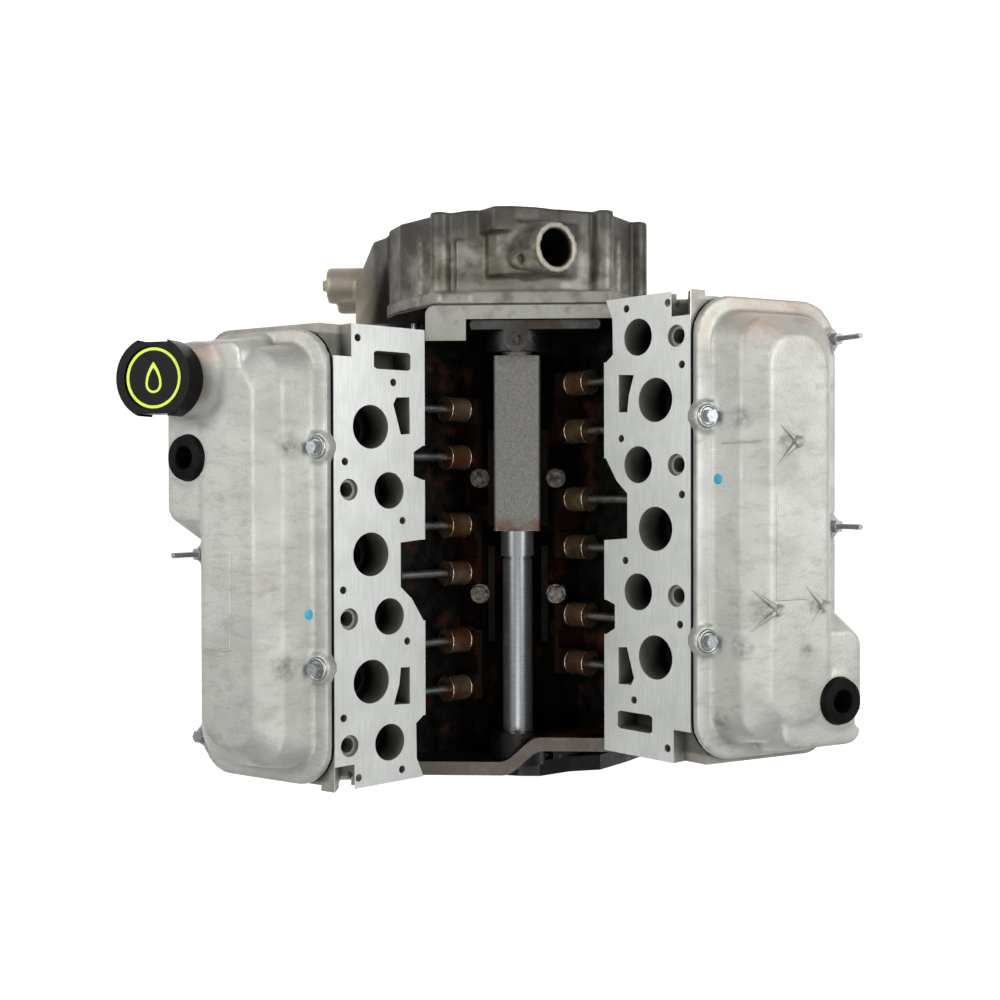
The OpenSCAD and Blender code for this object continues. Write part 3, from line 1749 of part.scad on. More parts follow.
pan_seal = 1.5;
pan_top = -skirt_z - pan_seal;
pan_y0 = 4;
pan_y1 = front_y1 - 4;
pan_half = skirt_x + 12;
drain_y = 22;
drain_z = 18 - sump_z;

module pan_opening() {
  translate([-skirt_x + 14, pan_y0 + 24])
    square([2 * skirt_x - 28, front_y - pan_y0 - 52]);
}

module pan_outline() {
  translate([-pan_half, pan_y0])
    square([2 * pan_half, front_y - pan_y0]);
  translate([-skirt_x - 1, pan_y0])
    square([2 * skirt_x, pan_y1 - pan_y0]);
}

module pan_holes() {
  pan_places(true, true)
    translate([0, 0, -9])
      cylinder(r = 3.3, h = 10);
}

module pan_gasket() {
  color("#2a2622")
    difference() {
      translate([0, 0, pan_top])
        linear_extrude(pan_seal)
          difference() {
            pan_outline();
            pan_opening();
          }
      pan_holes();
      translate([pickup_x, pickup_end, pan_top - 1])
        cylinder(r = 9, h = 9);
    }
}

// Side view of the pan below its flange, and its section, each drawn in by the sheet
module pan_body(inset) {
  intersection() {
    translate([-pan_half, 0, 0])
      rotate([90, 0, 90])
        linear_extrude(2 * pan_half)
          polygon([[20 + inset, pan_top + inset], [28 + inset, -168], [50 + inset, -sump_z + inset],
            [276 - inset, -sump_z + inset], [300 - inset, -166], [318 - inset, -116 + inset],
            [470 - inset, -106 + inset], [488 - inset, pan_top + inset]]);
    slab_y(0, front_y + front_depth)
      polygon(mirrored([[104 - inset, pan_top + inset], [102 - inset, -150],
        [94 - inset, -178], [80 - inset, -sump_z + inset]]));
  }
}

module oil_pan() {
  color(metal_dark)
    difference() {
      union() {
        translate([0, 0, pan_top - 3])
          linear_extrude(3)
            pan_outline();
        pan_body(0);
        rod_y(14, drain_y, 16, 0, drain_z);
      }
      pan_body(pan_t);
      translate([-102 + pan_t, 26, pan_top - 10])
        cube([204 - 2 * pan_t, 456, 12]);
      pan_holes();
      rod_y(7 + bolt_gap, drain_y - 1, 30, 0, drain_z);
    }
}

module pan_bolts() {
  color(metal_zinc)
    pan_places(true, true)
      translate([0, 0, -pan_seal - 3])
        mirror([0, 0, 1])
          hex_bolt(5, 5, 3, 11);
}

module drain_plug() {
  color(metal_zinc)
    translate([0, drain_y, drain_z])
      rotate([90, 0, 0])
        hex_bolt(9, 8, 7, 12);
}

pickup_x = -50;
pickup_end = front_y + 36;

module oil_pickup() {
  foot = [pickup_x, 170, -sump_z + 22];
  low = [pickup_x, 190, -96];
  turn = [pickup_x, pickup_end, -88];
  color(metal_zinc)
    difference() {
      union() {
        translate(foot - [0, 0, 10])
          cylinder(r = 34, h = 12);
        link_rod(foot, low, 8);
        for (bend = [low, turn])
          translate(bend)
            sphere(8.6);
        link_rod(low, turn, 8);
        link_rod(turn, [pickup_x, pickup_end, -skirt_z], 8);
      }
      translate(foot - [0, 0, 12])
        cylinder(r = 30, h = 8);
    }
}

engine_block();
core_plugs();
main_caps();
main_cap_bolts();
main_bearings();
crankshaft();
crank_key();
crank_sprocket();
rear_seal_retainer();
rear_seal();
camshaft();
cam_bearings();
cam_thrust_plate();
balance_drive_gear();
cam_sprocket();
timing_chain();
chain_guide();
balance_shaft();
balance_gear();
balance_thrust_plate();
balance_bushes();
lifters();
lifter_guides();
lifter_retainers();
valley_bolts();
pushrods();
piston_1();
piston_2();
piston_3();
piston_4();
piston_5();
piston_6();
head_gaskets();
cylinder_head_left();
cylinder_head_right();
head_bolts();
valves();
valve_springs();
rockers();
rocker_bolts();
cover_gaskets();
valve_cover_left();
valve_cover_right();
cover_bolts();
cover_studs();
breather_grommets();
oil_filler_cap();
cap_seal();
front_cover_gasket();
front_cover();
front_cover_bolts();
front_seal();
pump_drive_gear();
pump_idler_gear();
oil_pump_cover();
pan_gasket();
oil_pan();
pan_bolts();
drain_plug();
oil_pickup();
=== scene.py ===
"""The visual model of a V6 long block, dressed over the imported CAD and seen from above."""

import json
import math

import bmesh
import bpy
from mathutils import Euler, Matrix, Vector
from mathutils.bvhtree import BVHTree


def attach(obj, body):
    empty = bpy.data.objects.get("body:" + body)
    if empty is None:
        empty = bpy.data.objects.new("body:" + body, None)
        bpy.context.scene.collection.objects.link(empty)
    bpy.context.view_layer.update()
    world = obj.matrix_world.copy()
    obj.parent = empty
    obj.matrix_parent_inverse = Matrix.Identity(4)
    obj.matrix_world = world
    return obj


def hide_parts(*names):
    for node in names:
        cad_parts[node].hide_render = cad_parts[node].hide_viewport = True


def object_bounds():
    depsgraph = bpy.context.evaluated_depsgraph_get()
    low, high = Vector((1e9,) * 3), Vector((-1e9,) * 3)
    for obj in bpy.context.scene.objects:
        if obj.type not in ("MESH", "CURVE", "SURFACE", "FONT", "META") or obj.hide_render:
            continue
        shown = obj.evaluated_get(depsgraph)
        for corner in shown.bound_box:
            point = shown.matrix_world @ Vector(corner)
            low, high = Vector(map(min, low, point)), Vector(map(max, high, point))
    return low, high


MM = 0.001
SIDEWAYS, LENGTHWISE, UPRIGHT = (1, 0, 0), (0, 1, 0), (0, 0, 1)
LEFT, RIGHT = -1, 1

# The camera of the photograph, fitted to the port rows, the covers' edges and the bolt rows
CAMERA_AT = Vector((45.6, 268.0, 1421.9)) * MM
CAMERA_TURN = (-0.0120, 0.0496, -0.0021)
FOCAL_PX = 1356.5
PHOTO_PX = 1000

# Measures of the CAD, in millimetres
BORE_PITCH = 106.4
BOLT_FROM_MIDDLE = 90
LIFTER_FROM_BORE = 22
WALL_TOP = 222
TOWER_TOP = (37, 471, 255)
TOWER_AXIS = (0.588, 0, 0.809)

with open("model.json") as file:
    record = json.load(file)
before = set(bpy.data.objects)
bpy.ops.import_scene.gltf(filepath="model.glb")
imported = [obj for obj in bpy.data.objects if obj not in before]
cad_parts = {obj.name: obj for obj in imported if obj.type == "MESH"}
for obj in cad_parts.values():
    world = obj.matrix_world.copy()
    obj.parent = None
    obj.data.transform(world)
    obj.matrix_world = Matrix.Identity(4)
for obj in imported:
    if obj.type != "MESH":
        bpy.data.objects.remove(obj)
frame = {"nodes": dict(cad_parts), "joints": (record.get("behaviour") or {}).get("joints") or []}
cad_low, cad_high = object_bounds()


def head_middle(side):
    """Where the middle of a head lies along the engine, in millimetres."""
    return 220 + side * 11.9


def cover_axes(side):
    """The outward and the upward direction of a valve cover, which leans by 30 degrees."""
    outwards = Vector((side * math.sqrt(0.75), 0, -0.5))
    upwards = Vector((side * 0.5, 0, math.sqrt(0.75)))
    return outwards, upwards


# Colours and nodes

def linear(hex_code, alpha=1.0):
    """An sRGB hex code as the linear colour that a shader takes."""
    channels = [int(hex_code[i:i + 2], 16) / 255 for i in (1, 3, 5)]
    return [c / 12.92 if c <= 0.04045 else ((c + 0.055) / 1.055) ** 2.4
            for c in channels] + [alpha]


def feed(tree, socket, value):
    """Fills a socket: with a link from another socket, a hex colour or a plain value."""
    if isinstance(value, bpy.types.NodeSocket):
        tree.links.new(value, socket)
    else:
        socket.default_value = linear(value) if isinstance(value, str) else value


def add(tree, kind, values=None, **settings):
    """A node with its settings and what its sockets take."""
    node = tree.nodes.new("ShaderNode" + kind)
    for name, value in settings.items():
        setattr(node, name, value)
    for name, value in (values or {}).items():
        feed(tree, node.inputs[name], value)
    return node


def new_material(name):
    """An empty material with its surface shader and the piece's own coordinates."""
    material = bpy.data.materials.new(name)
    material.use_nodes = True
    tree = material.node_tree
    tree.nodes.clear()
    shader = add(tree, "BsdfPrincipled")
    add(tree, "OutputMaterial", {"Surface": shader.outputs["BSDF"]})
    place = add(tree, "TexCoord").outputs["Object"]
    return material, tree, shader, place


def surface(tree, shader, colour, metallic=0.0, roughness=0.5, sheen=0.5):
    """Sets what a shader shows: its colour, share of metal, roughness and specular level."""
    feed(tree, shader.inputs["Base Color"], colour)
    feed(tree, shader.inputs["Metallic"], metallic)
    feed(tree, shader.inputs["Roughness"], roughness)
    feed(tree, shader.inputs["Specular IOR Level"], sheen)


def noise(tree, place, size_mm, detail, roughness=0.55, stretch=(1, 1, 1)):
    """A noise whose blotches are about size_mm wide, as a factor from 0 to 1."""
    moved = add(tree, "Mapping", {"Scale": stretch, "Vector": place}).outputs["Vector"]
    values = {
        "Scale": 1 / (size_mm * MM), "Detail": detail, "Roughness": roughness, "Vector": moved}
    return add(tree, "TexNoise", values).outputs["Fac"]


def ramp(tree, factor, low, high, start=0.0, end=1.0):
    """A factor spread so that it runs from start to end between low and high."""
    values = {
        "From Min": low, "From Max": high, "To Min": start, "To Max": end, "Value": factor}
    return add(tree, "MapRange", values).outputs["Result"]


def patches(tree, place, size_mm, detail, low, high, start=0.0, end=1.0,
            roughness=0.55, stretch=(1, 1, 1)):
    """A noise spread over a range: patches of about size_mm, as a factor."""
    cloud = noise(tree, place, size_mm, detail, roughness, stretch)
    return ramp(tree, cloud, low, high, start, end)


def blend_colours(tree, factor, first, second):
    """Two colours mixed by a factor; each is a hex code or a socket."""
    return add(tree, "Mix", {"Factor": factor, 6: first, 7: second}, data_type="RGBA").outputs[2]


def arithmetic(tree, operation, first, second=0.0):
    """A sum done on factors or numbers."""
    return add(tree, "Math", {0: first, 1: second}, operation=operation).outputs[0]


def times(tree, first, second):
    """Two factors multiplied."""
    return arithmetic(tree, "MULTIPLY", first, second)


def along(tree, place, direction):
    """How far a point lies along a direction, in millimetres."""
    values = {0: place, 1: [c / MM for c in direction]}
    return add(tree, "VectorMath", values, operation="DOT_PRODUCT").outputs["Value"]


def spot(tree, place, centre, size_mm):
    """A soft ragged blotch round a point, as a factor."""
    gap = add(tree, "VectorMath", {0: place, 1: centre}, operation="DISTANCE").outputs["Value"]
    near = ramp(tree, gap, size_mm * MM, 0.3 * size_mm * MM)
    return times(tree, near, patches(tree, place, 7, 4, 0.35, 0.65, 0.1, 0.9))


def bump(tree, shader, height, depth_mm):
    """Relief of depth_mm from a factor, on the shader's normal."""
    values = {"Distance": depth_mm * MM, "Strength": 1.0, "Height": height}
    feed(tree, shader.inputs["Normal"], add(tree, "Bump", values).outputs["Normal"])


# Materials. A ramp along an axis runs between two places on it, in millimetres.

def cover_casting():
    """The valve covers: shot-blasted die casting, smudged, scratched and warm at the front."""
    material, tree, shader, place = new_material("shot_blasted_cover")
    colour = blend_colours(tree, patches(tree, place, 60, 5, 0.35, 0.65), "#a0a19c", "#b4b5b0")
    stains = patches(tree, place, 35, 6, 0.62, 0.75, 0, 0.8, 0.65)
    colour = blend_colours(tree, stains, colour, "#988b7c")
    front_end = ramp(tree, along(tree, place, LENGTHWISE), 370, 415)
    warm = times(tree, front_end, patches(tree, place, 28, 3, 0.35, 0.7, 0, 0.75))
    colour = blend_colours(tree, warm, colour, "#b39c8d")
    smudges = patches(tree, place, 11, 6, 0.5, 0.72, 0, 0.45, 0.7, (0.55, 1.3, 0.55))
    colour = blend_colours(tree, smudges, colour, "#83817a")
    scratches = patches(tree, place, 3, 3, 0.62, 0.72, 0, 0.22, 0.6, (0.13, 1, 0.13))
    colour = blend_colours(tree, scratches, colour, "#cacac5")
    surface(tree, shader, colour, 0.75, patches(tree, place, 25, 4, 0.3, 0.7, 0.48, 0.65))
    bump(tree, shader, noise(tree, place, 2.4, 5, 0.65), 0.35)
    return material


def milled_head(name, side):
    """A head: cutter marks on its intake face, dull cast skin, painted shade on its walls below
    the intake face.
    """
    material, tree, shader, place = new_material(name)
    depth = along(tree, place, (-side * math.sqrt(0.5), 0, math.sqrt(0.5)))
    milled = ramp(tree, depth, 125.6, 126.2)
    marks = noise(tree, place, 1.2, 2, 0.5, (1, 0.05, 1))
    bright = blend_colours(tree, ramp(tree, marks, 0.3, 0.7), "#c6c9c7", "#d6d8d5")
    haze = patches(tree, place, 30, 5, 0.4, 0.7, 0, 0.6)
    bright = blend_colours(tree, haze, bright, "#bcbeb9")
    cast = blend_colours(tree, patches(tree, place, 14, 5, 0.3, 0.7), "#7f7c75", "#97958e")
    length = along(tree, place, LENGTHWISE)
    from_middle = arithmetic(tree, "ABSOLUTE", arithmetic(tree, "ADD", length, -head_middle(side)))
    # Painted shade: near black on the head's walls below its intake face.
    painted_shade = times(tree, ramp(tree, from_middle, 184, 186, 1, 0), ramp(tree, depth, 124, 100))
    painted_shade = times(tree, painted_shade, ramp(tree, depth, 30, 50))
    cast = blend_colours(tree, painted_shade, cast, "#161514")
    colour = blend_colours(tree, milled, cast, bright)
    surface(tree, shader, colour, 0.7, ramp(tree, milled, 0, 1, 0.55, 0.42))
    bump(tree, shader, marks, 0.04)
    return material


def oily_casting(name, pale, dark, oil, roughness, sheen=0.5):
    """Cast metal that has run hot in oil: dark skin with brown varnish in broad patches."""
    material, tree, shader, place = new_material(name)
    skin = blend_colours(tree, patches(tree, place, 18, 6, 0.35, 0.65, 0, 1, 0.6), dark, pale)
    varnish = patches(tree, place, 45, 5, 0.42, 0.62, 0, 1, 0.6)
    rough = ramp(tree, varnish, 0, 1, roughness + 0.1, roughness - 0.12)
    surface(tree, shader, blend_colours(tree, varnish, skin, oil), 0.55, rough, sheen)
    bump(tree, shader, noise(tree, place, 2.5, 4, 0.6), 0.25)
    return material


def tower_marks(tree, place, colour):
    """The coolant tower on the front cover: a pale machined rim, and painted shade inside its
    bore.
    """
    values = {0: place, 1: [c * MM for c in TOWER_TOP]}
    to_top = add(tree, "VectorMath", values, operation="SUBTRACT").outputs["Vector"]
    values = {0: to_top, 1: TOWER_AXIS}
    turned = add(tree, "VectorMath", values, operation="CROSS_PRODUCT").outputs["Vector"]
    radius = add(tree, "VectorMath", {0: turned}, operation="LENGTH").outputs["Value"]
    below = along(tree, to_top, TOWER_AXIS)
    rim = times(tree, ramp(tree, radius, 22.8 * MM, 21.5 * MM), ramp(tree, below, -1.2, -0.5))
    rim = times(tree, rim, patches(tree, place, 5, 4, 0.3, 0.6, 0.55, 1))
    colour = blend_colours(tree, rim, colour, "#989587")
    # Painted shade: the bore's inside is painted near black.
    hole_shade = times(tree, ramp(tree, radius, 17.5 * MM, 16.8 * MM), ramp(tree, below, -1, -5))
    return blend_colours(tree, hole_shade, colour, "#0a0908")


def front_casting():
    """The front cover: weathered grey with patches of grease, painted shade low down, darker at
    its face, bare on its outlet.
    """
    material, tree, shader, place = new_material("weathered_front_casting")
    length = along(tree, place, LENGTHWISE)
    height = along(tree, place, UPRIGHT)
    skin = patches(tree, place, 24, 6, 0.35, 0.65, 0, 1, 0.6)
    colour = blend_colours(tree, skin, "#46443f", "#86837c")
    grease = patches(tree, place, 38, 5, 0.46, 0.62, 0, 0.85, 0.6)
    colour = blend_colours(tree, grease, colour, "#37311f")
    # Painted shade: the cover darkens lower down.
    colour = blend_colours(tree, ramp(tree, height, 190, 120, 0, 0.85), colour, "#24211d")
    # Darker towards its face at the front.
    colour = blend_colours(tree, ramp(tree, length, 474, 496, 0, 0.8), colour, "#34322d")
    roof = times(tree, ramp(tree, length, 452, 440), ramp(tree, height, 205, 212))
    roof = times(tree, roof, patches(tree, place, 16, 4, 0.3, 0.5, 0.2, 0.75))
    colour = blend_colours(tree, roof, colour, "#8f8c84")
    outlet = ramp(tree, along(tree, place, SIDEWAYS), -140, -175)
    colour = tower_marks(tree, place, blend_colours(tree, outlet, colour, "#9c9383"))
    surface(tree, shader, colour, 0.5, patches(tree, place, 18, 4, 0.3, 0.7, 0.42, 0.62))
    bump(tree, shader, noise(tree, place, 2.2, 4, 0.6), 0.22)
    return material


def block_casting():
    """Iron block: gloss black enamel outside, oil varnish within, bare milled wall tops."""
    material, tree, shader, place = new_material("enamelled_iron")
    height = along(tree, place, UPRIGHT)
    length = along(tree, place, LENGTHWISE)
    width = arithmetic(tree, "ABSOLUTE", along(tree, place, SIDEWAYS))
    enamel = blend_colours(tree, patches(tree, place, 22, 5, 0.4, 0.7), "#080809", "#151516")
    varnish = blend_colours(tree, patches(tree, place, 30, 3, 0.54, 0.7), "#050403", "#34180b")
    inside = times(tree, ramp(tree, length, 34, 38), ramp(tree, length, 384, 388, 1, 0))
    inside = times(tree, inside, ramp(tree, width, 108, 114, 1, 0))
    inside = times(tree, inside, ramp(tree, height, 78, 84))
    colour = blend_colours(tree, inside, enamel, varnish)
    rusty = patches(tree, place, 14, 6, 0.5, 0.8, 0, 1, 0.6)
    bare = blend_colours(tree, rusty, "#8f8f89", "#6f5f4c")
    bare = blend_colours(tree, ramp(tree, length, 200, 100), bare, "#4a443c")
    milled = ramp(tree, height, WALL_TOP - 0.6, WALL_TOP - 0.2)
    colour = blend_colours(tree, milled, colour, bare)
    surface(tree, shader, colour, 0.2, patches(tree, place, 12, 4, 0.35, 0.65, 0.24, 0.44), 0.25)
    bump(tree, shader, noise(tree, place, 2.2, 4, 0.6), 0.3)
    return material


def shaft_steel():
    """The balance shaft: ground bright, its weight a sawn forging that browns at its end."""
    material, tree, shader, place = new_material("balance_shaft_steel")
    length = along(tree, place, LENGTHWISE)
    weight = ramp(tree, length, 224.5, 226.5)
    grain = noise(tree, place, 1.4, 3, 0.5, (0.1, 1.6, 0.1))
    ground = blend_colours(tree, ramp(tree, grain, 0.35, 0.65), "#838587", "#909294")
    forged = blend_colours(tree, patches(tree, place, 1.6, 4, 0.35, 0.65), "#62615d", "#797873")
    tarnish = times(
        tree, ramp(tree, length, 240, 226), patches(tree, place, 12, 4, 0.3, 0.55))
    forged = blend_colours(tree, tarnish, forged, "#5a3520")
    surface(
        tree, shader, blend_colours(tree, weight, ground, forged),
        ramp(tree, weight, 0, 1, 0.9, 0.55), ramp(tree, weight, 0, 1, 0.33, 0.5))
    bump(tree, shader, grain, 0.008)
    return material


def steel(name, colour, worn, roughness, grain_mm=1.5):
    """Machined or ground metal with a fine grain."""
    material, tree, shader, place = new_material(name)
    grain = noise(tree, place, grain_mm, 3, 0.5)
    shades = blend_colours(tree, ramp(tree, grain, 0.35, 0.65), worn, colour)
    rough = patches(tree, place, 8, 3, 0.3, 0.7, roughness - 0.05, roughness + 0.08)
    surface(tree, shader, shades, 1.0, rough)
    bump(tree, shader, grain, 0.02)
    return material


def plastic(name, colour, dusty, roughness, sheen=0.5):
    """Moulded rubber, nylon, paint or board: an even skin with a fine grain and a little dust."""
    material, tree, shader, place = new_material(name)
    dust = patches(tree, place, 6, 4, 0.45, 0.75, 0, 0.5)
    rough = patches(tree, place, 3, 3, 0.3, 0.7, roughness - 0.06, roughness + 0.08)
    surface(tree, shader, blend_colours(tree, dust, colour, dusty), 0.0, rough, sheen)
    bump(tree, shader, noise(tree, place, 0.8, 2), 0.03)
    return material


COVER = cover_casting()
FRONT = front_casting()
BLACKED = oily_casting("black_oxide_steel", "#0a0908", "#040303", "#130b07", 0.5, sheen=0.12)
PLATE = oily_casting("oiled_plate_steel", "#4c4b48", "#32312f", "#3b3029", 0.4)
BLOCK = block_casting()
STEEL = steel("machined_steel", "#a9aaa8", "#8b8b88", 0.32)
SHAFT = shaft_steel()
ZINC = steel("zinc_plated_steel", "#b3b6b7", "#8b8e90", 0.4)
SPRING = steel("blued_spring_steel", "#4a4744", "#2f2b29", 0.35)
LIFTER = oily_casting("oil_browned_steel", "#6a5b47", "#403527", "#56301b", 0.3)
LIFTER_GUIDE = oily_casting("oil_blackened_guide", "#1d1510", "#0f0b08", "#341a0d", 0.35)
OILED = steel("oily_bolt_steel", "#67625b", "#2e2a26", 0.3, grain_mm=5)
WORN = steel("bright_worn_steel", "#c0b8a4", "#8d8470", 0.25)
RUBBER = plastic("nitrile_rubber", "#0a0a0a", "#181818", 0.45, sheen=0.06)
CAP = plastic("black_nylon", "#060606", "#0e0e0e", 0.26, sheen=0.05)
ALLOY = steel("bearing_alloy", "#b5ad9a", "#9a927f", 0.35)
SEAL = plastic("brown_fluoro_rubber", "#4a2616", "#5a3423", 0.5)
GASKET = plastic("gasket_board", "#3a352f", "#4a443c", 0.7)
GUIDE = plastic("moulded_guide_nylon", "#2a2722", "#3a362f", 0.5)
PISTON = steel("turned_piston_alloy", "#b8b9b7", "#9fa09e", 0.36)
PAN = plastic("gloss_black_paint", "#0f0f10", "#1b1b1c", 0.25)
BLUE_PAINT = plastic("blue_marking_paint", "#0b93ae", "#1d6f80", 0.4)
CAP_PRINT = plastic("yellow_green_print", "#b9d31c", "#a9c01c", 0.45)

FINISHES = {
    BLOCK: ("engine_block", "main_caps"),
    COVER: ("valve_cover_left", "valve_cover_right", "oil_pump_cover", "rear_seal_retainer"),
    FRONT: ("front_cover",),
    STEEL: (
        "main_cap_bolts", "crankshaft", "crank_sprocket", "cam_sprocket", "camshaft",
        "cam_thrust_plate", "balance_drive_gear", "balance_gear", "timing_chain", "valves",
        "rockers", "rocker_bolts", "head_bolts", "pushrods", "pump_drive_gear", "pump_idler_gear",
    ),
    SPRING: ("valve_springs",),
    BLACKED: ("lifter_retainers",),
    PLATE: ("balance_thrust_plate",),
    SHAFT: ("balance_shaft",),
    ZINC: (
        "core_plugs", "crank_key", "cover_bolts", "cover_studs", "front_cover_bolts", "pan_bolts",
        "drain_plug", "oil_pickup",
    ),
    ALLOY: ("main_bearings", "cam_bearings", "balance_bushes"),
    LIFTER: ("lifters",),
    LIFTER_GUIDE: ("lifter_guides",),
    OILED: ("valley_bolts",),
    RUBBER: ("rear_seal", "front_seal", "breather_grommets", "cover_gaskets"),
    CAP: ("oil_filler_cap",),
    SEAL: ("cap_seal",),
    GASKET: ("head_gaskets", "front_cover_gasket", "pan_gasket"),
    GUIDE: ("chain_guide",),
    PISTON: ("piston_1", "piston_2", "piston_3", "piston_4", "piston_5", "piston_6"),
    PAN: ("oil_pan",),
    milled_head("milled_head_right", RIGHT): ("cylinder_head_right",),
    milled_head("milled_head_left", LEFT): ("cylinder_head_left",),
}


def finish_nodes():
    """Gives every CAD node its material."""
    for material, names in FINISHES.items():
        for name in names:
            node = frame["nodes"][name]
            node.data.materials.clear()
            node.data.materials.append(material)


# Objects and meshes

def placed(name, data):
    """A new object at the origin, in the scene."""
    piece = bpy.data.objects.new(name, data)
    bpy.context.scene.collection.objects.link(piece)
    return piece


def show(name, mesh, material, body):
    """A visible piece for a finished mesh, on its body and with its material."""
    piece = placed(name, mesh)
    mesh.materials.clear()
    mesh.materials.append(material)
    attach(piece, body)
    return piece


def mesh_of(form, name, smooth=True):
    """A mesh from a bmesh, which is freed."""
    bmesh.ops.recalc_face_normals(form, faces=form.faces)
    for face in form.faces:
        face.smooth = smooth
    mesh = bpy.data.meshes.new(name)
    form.to_mesh(mesh)
    form.free()
    return mesh


def finished_mesh(piece):
    """The mesh that an object's modifiers or bevel leave, after which the object goes."""
    graph = bpy.context.evaluated_depsgraph_get()
    mesh = bpy.data.meshes.new_from_object(piece.evaluated_get(graph))
    bpy.data.objects.remove(piece)
    return mesh


def facing(point, normal):
    """The place of something that stands on a surface at a point."""
    return Matrix.Translation(point) @ normal.to_track_quat("Z", "Y").to_matrix().to_4x4()


def circle(form, radius, segments):
    """The corners of a flat ring, and its edges."""
    corners = bmesh.ops.create_circle(form, segments=segments, radius=radius)["verts"]
    edges = [e for e in form.edges if e.verts[0] in corners and e.verts[1] in corners]
    return corners, edges


def cone(form, lower_mm, upper_mm, depth_mm, segments):
    """A closed cone round Z, half above and half below the origin."""
    bmesh.ops.create_cone(
        form, cap_ends=True, segments=segments, radius1=lower_mm * MM, radius2=upper_mm * MM,
        depth=depth_mm * MM)


# The search trees that seen_at has built, by the piece's name
SKINS = {}


def seen_at(piece, x, y):
    """The point and the normal of a piece under a pixel of the photograph."""
    if piece.name not in SKINS:
        SKINS[piece.name] = BVHTree.FromObject(piece, bpy.context.evaluated_depsgraph_get())
    ray = Vector(((x - PHOTO_PX / 2) / FOCAL_PX, (PHOTO_PX / 2 - y) / FOCAL_PX, -1))
    ray.rotate(Euler(CAMERA_TURN))
    return SKINS[piece.name].ray_cast(CAMERA_AT, ray.normalized())[:2]


# Castings

def cast_copy(node, material, cell_mm, rounds, added=None):
    """The node as it leaves its mould: rebuilt in small cells, with every corner eased."""
    name = node + "_casting"
    form = bmesh.new()
    form.from_mesh(frame["nodes"][node].data)
    bmesh.ops.remove_doubles(form, verts=form.verts, dist=0.002 * MM)
    if added:
        form.from_mesh(added)
    rough = placed(name + "_rough", mesh_of(form, name))
    cells = rough.modifiers.new("cells", "REMESH")
    cells.mode = "VOXEL"
    cells.voxel_size = cell_mm * MM
    cells.use_smooth_shade = True
    ease = rough.modifiers.new("ease", "SMOOTH")
    ease.factor = 0.5
    ease.iterations = rounds
    eased = finished_mesh(rough)
    eased.name = name
    piece = show(name, eased, material, "engine")
    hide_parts(node)
    return piece


def filler_seat():
    """The filler cap's seat on its neck, and its axis."""
    joint = next(j for j in frame["joints"] if j["name"] == "filler_cap_turn")
    return Vector(joint["pos_m"]), Vector(joint["axis"]).normalized()


def ring_points(centre, normal, radius_mm):
    """Points round a circle that lies across its normal."""
    place = facing(centre, normal)
    turns = [2 * math.pi * i / 64 for i in range(64)]
    return [place @ (Vector((math.cos(t), math.sin(t), 0)) * radius_mm * MM) for t in turns]


def hull_of(points, name):
    """The closed skin stretched round a set of points, as an object."""
    form = bmesh.new()
    for point in points:
        form.verts.new(point)
    hull = bmesh.ops.convex_hull(form, input=form.verts)
    inner = {part for part in hull["geom_interior"] if isinstance(part, bmesh.types.BMVert)}
    bmesh.ops.delete(form, geom=list(inner), context="VERTS")
    return placed(name, mesh_of(form, name))


def rod_for_cut(name, foot, axis, radius_mm, depth_mm):
    """A cylinder that stands on a point, to be cut out of a casting."""
    form = bmesh.new()
    cone(form, radius_mm, radius_mm, depth_mm, 64)
    middle = foot + axis * (depth_mm * MM) / 2
    bmesh.ops.transform(form, matrix=facing(middle, axis), verts=form.verts)
    return placed(name, mesh_of(form, name))


def filler_wall():
    """The filler tower's outer wall and its gusset, bored for the cap and cleared for a bolt."""
    seat, axis = filler_seat()
    outwards, upwards = cover_axes(LEFT)
    seat_outwards, seat_upwards = 121, 67
    flange = seat - (seat_outwards * outwards + seat_upwards * upwards) * MM

    def at(across, y, height):
        return flange + (across * outwards + height * upwards + Vector((0, y, 0))) * MM

    rim_r, collar_r, foot_r = 27, 26.5, 33
    rim = ring_points(seat - 0.3 * MM * axis, axis, rim_r)
    collar_at = seat - 18 * MM * axis
    collar = ring_points(collar_at, axis, collar_r)
    foot = ring_points(at(104, 0, 49.5), upwards, foot_r)
    tower = hull_of(rim + collar + foot, "filler_tower")
    outer_half = [p for p in collar if (p - collar_at).dot(outwards) >= 0]
    gusset_half = 24
    cover_side = ((134, 14), (139.3, 14), (141, 30.6), (130, 50))
    corners = [
        at(across, y, height) for y in (-gusset_half, gusset_half)
        for across, height in cover_side]
    gusset = hull_of(outer_half + corners, "filler_gusset")
    bore_r, bore_depth = 22.2, 15.2
    bore = rod_for_cut("filler_bore", seat - bore_depth * MM * axis, axis, bore_r, 30)
    bolt_foot, head_r, head_room = at(136, 11, 10), 8.8, 22
    pocket = rod_for_cut("bolt_pocket", bolt_foot, upwards, head_r, head_room)
    form = bmesh.new()
    for piece in (tower, gusset):
        for cutter in (bore, pocket):
            cut = piece.modifiers.new(cutter.name, "BOOLEAN")
            cut.object = cutter
            cut.operation = "DIFFERENCE"
            cut.solver = "EXACT"
        form.from_mesh(finished_mesh(piece))
    for cutter in (bore, pocket):
        bpy.data.objects.remove(cutter)
    return mesh_of(form, "filler_wall")


# Details on the covers, laid at pixels of the photograph

def paint_dot(name, cover, x, y):
    """An inspector's dab of blue paint: a thin domed disc on the cover."""
    radius, flatness = 4.3 * MM, 0.12
    form = bmesh.new()
    bmesh.ops.create_uvsphere(form, u_segments=24, v_segments=12, radius=radius)
    bmesh.ops.scale(form, verts=form.verts, vec=(1, 1, flatness))
    bmesh.ops.transform(form, matrix=facing(*seen_at(cover, x, y)), verts=form.verts)
    show(name, mesh_of(form, name), BLUE_PAINT, "engine")


